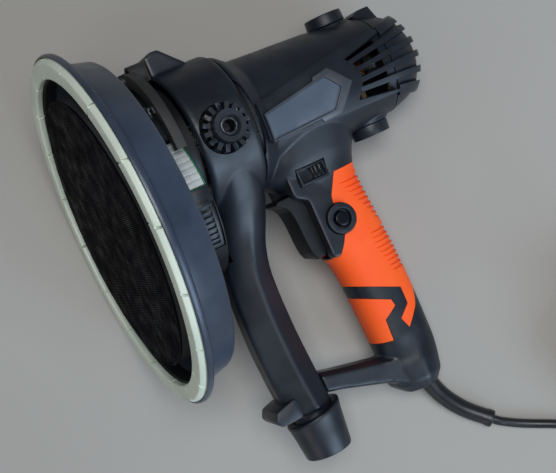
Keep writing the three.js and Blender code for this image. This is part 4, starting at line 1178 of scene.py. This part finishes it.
# ---------- mains lead, in the row frame ----------
CORD_R = 3
SLEEVE_ROUTE = [
    (36.3, -124.7, 17.4),
    (37.9, -136.9, 14),
    (41.9, -150.9, 10.3),
    (50.3, -165.3, 7.5),
    (63.7, -179.9, 6.4),
]
CORD_ROUTE = [
    (64.7, -180.8, 6.3),
    (70.8, -185.9, 4.8),
    (79.3, -191.5, 3.4),
    (89.6, -197.2, 3.1),
    (99.3, -202.4, 3.1),
    (113.9, -211.6, 3.1),
    (128.7, -220.7, 3.1),
]
COIL_X, COIL_Y = 169.3, -195
COIL_START = 242  # degrees, where the lead runs onto the coil
COIL_RADII = (42, 36, 30, 24)
COIL_LAYERS = 4
CROSSING_X, CROSSING_Y, CROSSING_R = 155.2, -200.1, 27
CROSSING_FROM, CROSSING_TO = 200, 362
PLUG_X, PLUG_Y, PLUG_Z, PLUG_TAIL = 182.2, -165, 37.5, -34


def smooth_through(points, steps=8):
    """Points on a Catmull-Rom curve through the given ones."""
    ends = [2 * Vector(points[0]) - Vector(points[1])] + [Vector(p) for p in points]
    ends.append(2 * Vector(points[-1]) - Vector(points[-2]))
    made = []
    for i in range(len(points) - 1):
        a, b, c, d = ends[i : i + 4]
        for k in range(steps):
            t = k / steps
            square, cube = 2 * a - 5 * b + 4 * c - d, 3 * b - a - 3 * c + d
            made.append(0.5 * (2 * b + (c - a) * t + square * t**2 + cube * t**3))
    made.append(Vector(points[-1]))
    return made


def ease(t):
    t = min(1.0, max(0.0, t))
    return t * t * (3 - 2 * t)


def coil_points(step=10):
    """Four layers of four turns, in and out, one diameter apart, ending on top at the crossing."""
    turns = [COIL_RADII if layer % 2 == 0 else COIL_RADII[::-1] for layer in range(COIL_LAYERS)]
    radii = [r for layer in turns for r in layer]
    heights = [CORD_R + 2 * CORD_R * (i // 4) for i in range(len(radii))]
    total = 360 * len(radii) - (COIL_START - CROSSING_FROM)
    crossing_height = heights[-1] + 2 * CORD_R + 0.3
    points = []
    for degrees in range(0, total, step):
        turn, part = divmod(degrees, 360)
        shift = ease((part - 280) / 80)
        after = min(turn + 1, len(radii) - 1)
        radius = radii[turn] + (radii[after] - radii[turn]) * shift
        z = heights[turn] + (heights[after] - heights[turn]) * shift
        if turn == len(radii) - 1:
            z += (crossing_height - z) * ease((degrees - (total - 90)) / 90)
        angle = math.radians(COIL_START + degrees)
        points.append(Vector((COIL_X + radius * math.cos(angle), COIL_Y + radius * math.sin(angle), z)))
    return points, crossing_height


def crossing_points(low, count=18):
    """The last arc over the coil, rising to the plug's tail."""
    points = []
    for i in range(count + 1):
        share = i / count
        angle = math.radians(CROSSING_FROM + (CROSSING_TO - CROSSING_FROM) * share)
        height = low + (PLUG_Z - low) * ease((share - 0.3) / 0.7)
        x, y = CROSSING_X + CROSSING_R * math.cos(angle), CROSSING_Y + CROSSING_R * math.sin(angle)
        points.append(Vector((x, y, height)))
    return points


def sleeve():
    """Tapered strain relief with ring grooves and an end flange."""
    route = smooth_through(SLEEVE_ROUTE, 12)
    last = len(route) - 1
    rings = []
    for i, middle in enumerate(route):
        along = (route[min(i + 1, last)] - route[max(i - 1, 0)]).normalized()
        side = along.cross(Vector((0, 0, 1))).normalized()
        rise = side.cross(along)
        share = i / last
        radius = 6.3 - 0.95 * share
        if share > 0.94:
            radius = 5.85
        turns = full_turn(48)
        rings.append([middle + side * radius * math.cos(t) + rise * radius * math.sin(t) for t in turns])
    made = lofted("strain_relief", rings)
    bevelled(made, 0.5, 3, 30)
    place(made, "housing", CABLE, ["strain_relief"], LEAD_TO_ROW)
    return made


def bulged(value):
    """A sine or cosine bent towards a rounded square."""
    return math.copysign(abs(value) ** (2 / 2.6), value)


def plug():
    """Two-pin plug lying on the coil, pins along +Y."""
    stations = [  # x, half width, half height
        (PLUG_TAIL, 4.4, 4.4), (-30, 4.7, 4.7), (-20, 5.5, 5.5), (-17, 6.6, 6.4), (-14, 10.4, 9.4),
        (-10, 13.4, 11.4), (-5, 15.4, 12.4), (2, 17.2, 13), (9, 17.8, 13.2), (11, 17.6, 13.1),
        (12, 16.8, 12.4),
    ]
    turns = full_turn(72)
    squarish = [(bulged(math.cos(t)), bulged(math.sin(t))) for t in turns]
    rings = [[(x, wide * c, high * s) for c, s in squarish] for x, wide, high in stations]
    body = lofted("plug_body", rings)
    ridges = [pipe("ridge", -29.6 + 2.6 * i, -28.6 + 2.6 * i, 5.9, 3, 48) for i in range(4)]
    joined(body, merged("ridges", ridges))
    bevelled(body, 0.3, 2, 40)
    to_plug = Matrix.Translation((PLUG_X, PLUG_Y, PLUG_Z)) @ Matrix.Rotation(math.pi / 2, 4, "Z")
    move(body, to_plug)
    pins = []
    for y in (-9.5, 9.5):
        shaft = rod("shaft", (11, y, 0), (30.2, y, 0), 2.4, 32)
        pins.append(bevelled(shaft, 0.9, 3, 50))
    pair = move(merged("plug_pins", pins), to_plug)
    place(body, "housing", CABLE, ["plug"], LEAD_TO_ROW)
    place(pair, "housing", STEEL, (), LEAD_TO_ROW)
    return [body, pair]


def tie():
    """Hook-and-loop strap that holds the coil."""
    inner = rounded([(20.4, 0.1), (45.8, 0.1), (45.8, 24.6), (20.4, 24.6)], 2.5, 6)
    outer = grown(inner, 0.8)
    width = 7
    count = len(inner)
    verts, faces = [], []
    for y in (-width, width):
        verts += [(x, y, max(z, 0.02)) for x, z in outer] + [(x, y, z) for x, z in inner]
    for i in range(count):
        j = (i + 1) % count
        a, b = 0, 2 * count
        faces += [
            (a + i, a + j, b + j, b + i),
            (a + count + i, a + count + j, b + count + j, b + count + i),
            (a + i, a + j, a + count + j, a + count + i),
            (b + i, b + j, b + count + j, b + count + i),
        ]
    made = from_faces("lead_tie", verts, faces)
    swing = Matrix.Translation((COIL_X, COIL_Y, 0)) @ Matrix.Rotation(math.radians(-75), 4, "Z")
    move(made, swing)
    bevelled(made, 0.2, 2, 40)
    place(made, "housing", HOOKS, (), LEAD_TO_ROW)
    return made


def mains_lead():
    on_coil, crossing_height = coil_points()
    uncoiled = smooth_through(SLEEVE_ROUTE[:-1] + CORD_ROUTE + [tuple(on_coil[0])])
    route = uncoiled[:-1] + on_coil + crossing_points(crossing_height)
    curve = bpy.data.curves.new("mains_lead", "CURVE")
    curve.dimensions = "3D"
    curve.bevel_depth = CORD_R * MM
    curve.bevel_resolution = 5
    line = curve.splines.new("POLY")
    line.points.add(len(route) - 1)
    for point, here in zip(line.points, route):
        point.co = (*(here * MM), 1)
    made = bpy.data.objects.new("mains_lead", curve)
    bpy.context.scene.collection.objects.link(made)
    curve.materials.append(CABLE)
    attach(made, "housing")
    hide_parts("cord", "cord_coil")
    on_it = [sleeve(), *plug(), tie()]


# ---------- CAD nodes that stay ----------
KEPT = {
    STEEL: (
        "motor_front_bearing", "motor_rear_bearing", "rotor_shaft", "pinion", "pad_screw", "spindle",
        "spindle_front_bearing", "spindle_rear_bearing", "shroud_spring_left", "shroud_spring_right",
    ),
    DARK_STEEL: ("rotor_core", "stator_core", "spindle_gear"),
    ALUMINIUM: ("gear_cover",),
    COPPER: ("rotor_winding", "commutator", "field_coil_top", "field_coil_bottom"),
    BRASS: ("brush_holder_top", "brush_holder_bottom"),
    CARBON: ("carbon_brush_top", "carbon_brush_bottom"),
    BOARD: ("led_board", "led_driver_board"),
    CHARCOAL: ("cooling_fan", "backing_plate", "trigger_switch"),
}


def finish_kept_nodes():
    for material, names in KEPT.items():
        for name in names:
            node = frame["nodes"][name]
            node.data.materials.clear()
            node.data.materials.append(material)
            for polygon in node.data.polygons:
                polygon.material_index = 0


# ---------- studio ----------
def studio():
    bpy.context.scene.view_settings.view_transform = "Standard"
    world = bpy.data.worlds.new("studio")
    bpy.context.scene.world = world
    world.use_nodes = True
    sky = world.node_tree.nodes["Background"]
    sky.inputs["Color"].default_value = (0.9, 0.93, 1.0, 1)
    sky.inputs["Strength"].default_value = 0.11

    floor = from_faces("floor", [(-6, -6, 0), (6, -6, 0), (6, 6, 0), (-6, 6, 0)], [(0, 1, 2, 3)])
    floor.location.z = -0.0003
    paint, shader = new_material("floor_paint", (0.36, 0.345, 0.32), 0.75)
    vary(paint, shader, noise(paint, 3), (0.385, 0.37, 0.345), (0.415, 0.4, 0.373))
    shader.inputs["Specular IOR Level"].default_value = 0.25
    floor.data.materials.append(paint)

    area_light("overhead", (0.3, -0.05, 2.2), 1.1, 30, (0.96, 0.98, 1.0))
    area_light("window", (1.5, -3.0, 1.3), 2.4, 105, (0.62, 0.80, 1.0))
    area_light("low_fill", (-1.6, -1.5, 0.9), 1.2, 5, (1.0, 0.94, 0.86))


def area_light(name, position, size, power, color):
    lamp = bpy.data.lights.new(name, "AREA")
    lamp.size = size
    lamp.energy = power
    lamp.color = color
    made = bpy.data.objects.new(name, lamp)
    made.location = position
    made.rotation_mode = "QUATERNION"
    made.rotation_quaternion = (-Vector(position)).to_track_quat("-Z", "Y")
    bpy.context.scene.collection.objects.link(made)


CAMERA_AT = (-135.98, -660.15, 22.29)
CAMERA_FORWARD = (0.33374, 0.93789, -0.0945)
CAMERA_DOWN = (-0.40788, 0.05331, -0.91149)
LENS = 71.2


def camera():
    """View of the tool's left side, a little from the front, held in the tool's own frame."""
    eye = TO_ROW @ Vector(CAMERA_AT)
    forward = (TURN @ Vector(CAMERA_FORWARD)).normalized()
    down = TURN @ Vector(CAMERA_DOWN)
    right = down.cross(forward).normalized()
    up = right.cross(forward)
    lens = bpy.data.cameras.new("camera")
    lens.lens = LENS
    lens.sensor_width = 36
    lens.clip_start = 0.01
    made = bpy.data.objects.new("camera", lens)
    bpy.context.scene.collection.objects.link(made)
    made.matrix_world = Matrix.Translation(eye) @ Matrix((right, up, -forward)).transposed().to_4x4()
    bpy.context.scene.camera = made


camera()
mains_lead()
hook_face()
foam()
dust_shroud()
skirt()
nose()
light_strip()
side_vents()
bracket()
head_shell()
side_bosses()
hose_collar()
motor_housing()
plaque()
slot_webs()
rear_cover()
brush_caps()
trigger()
lock_button()
light_switch()
finish_kept_nodes()
studio()
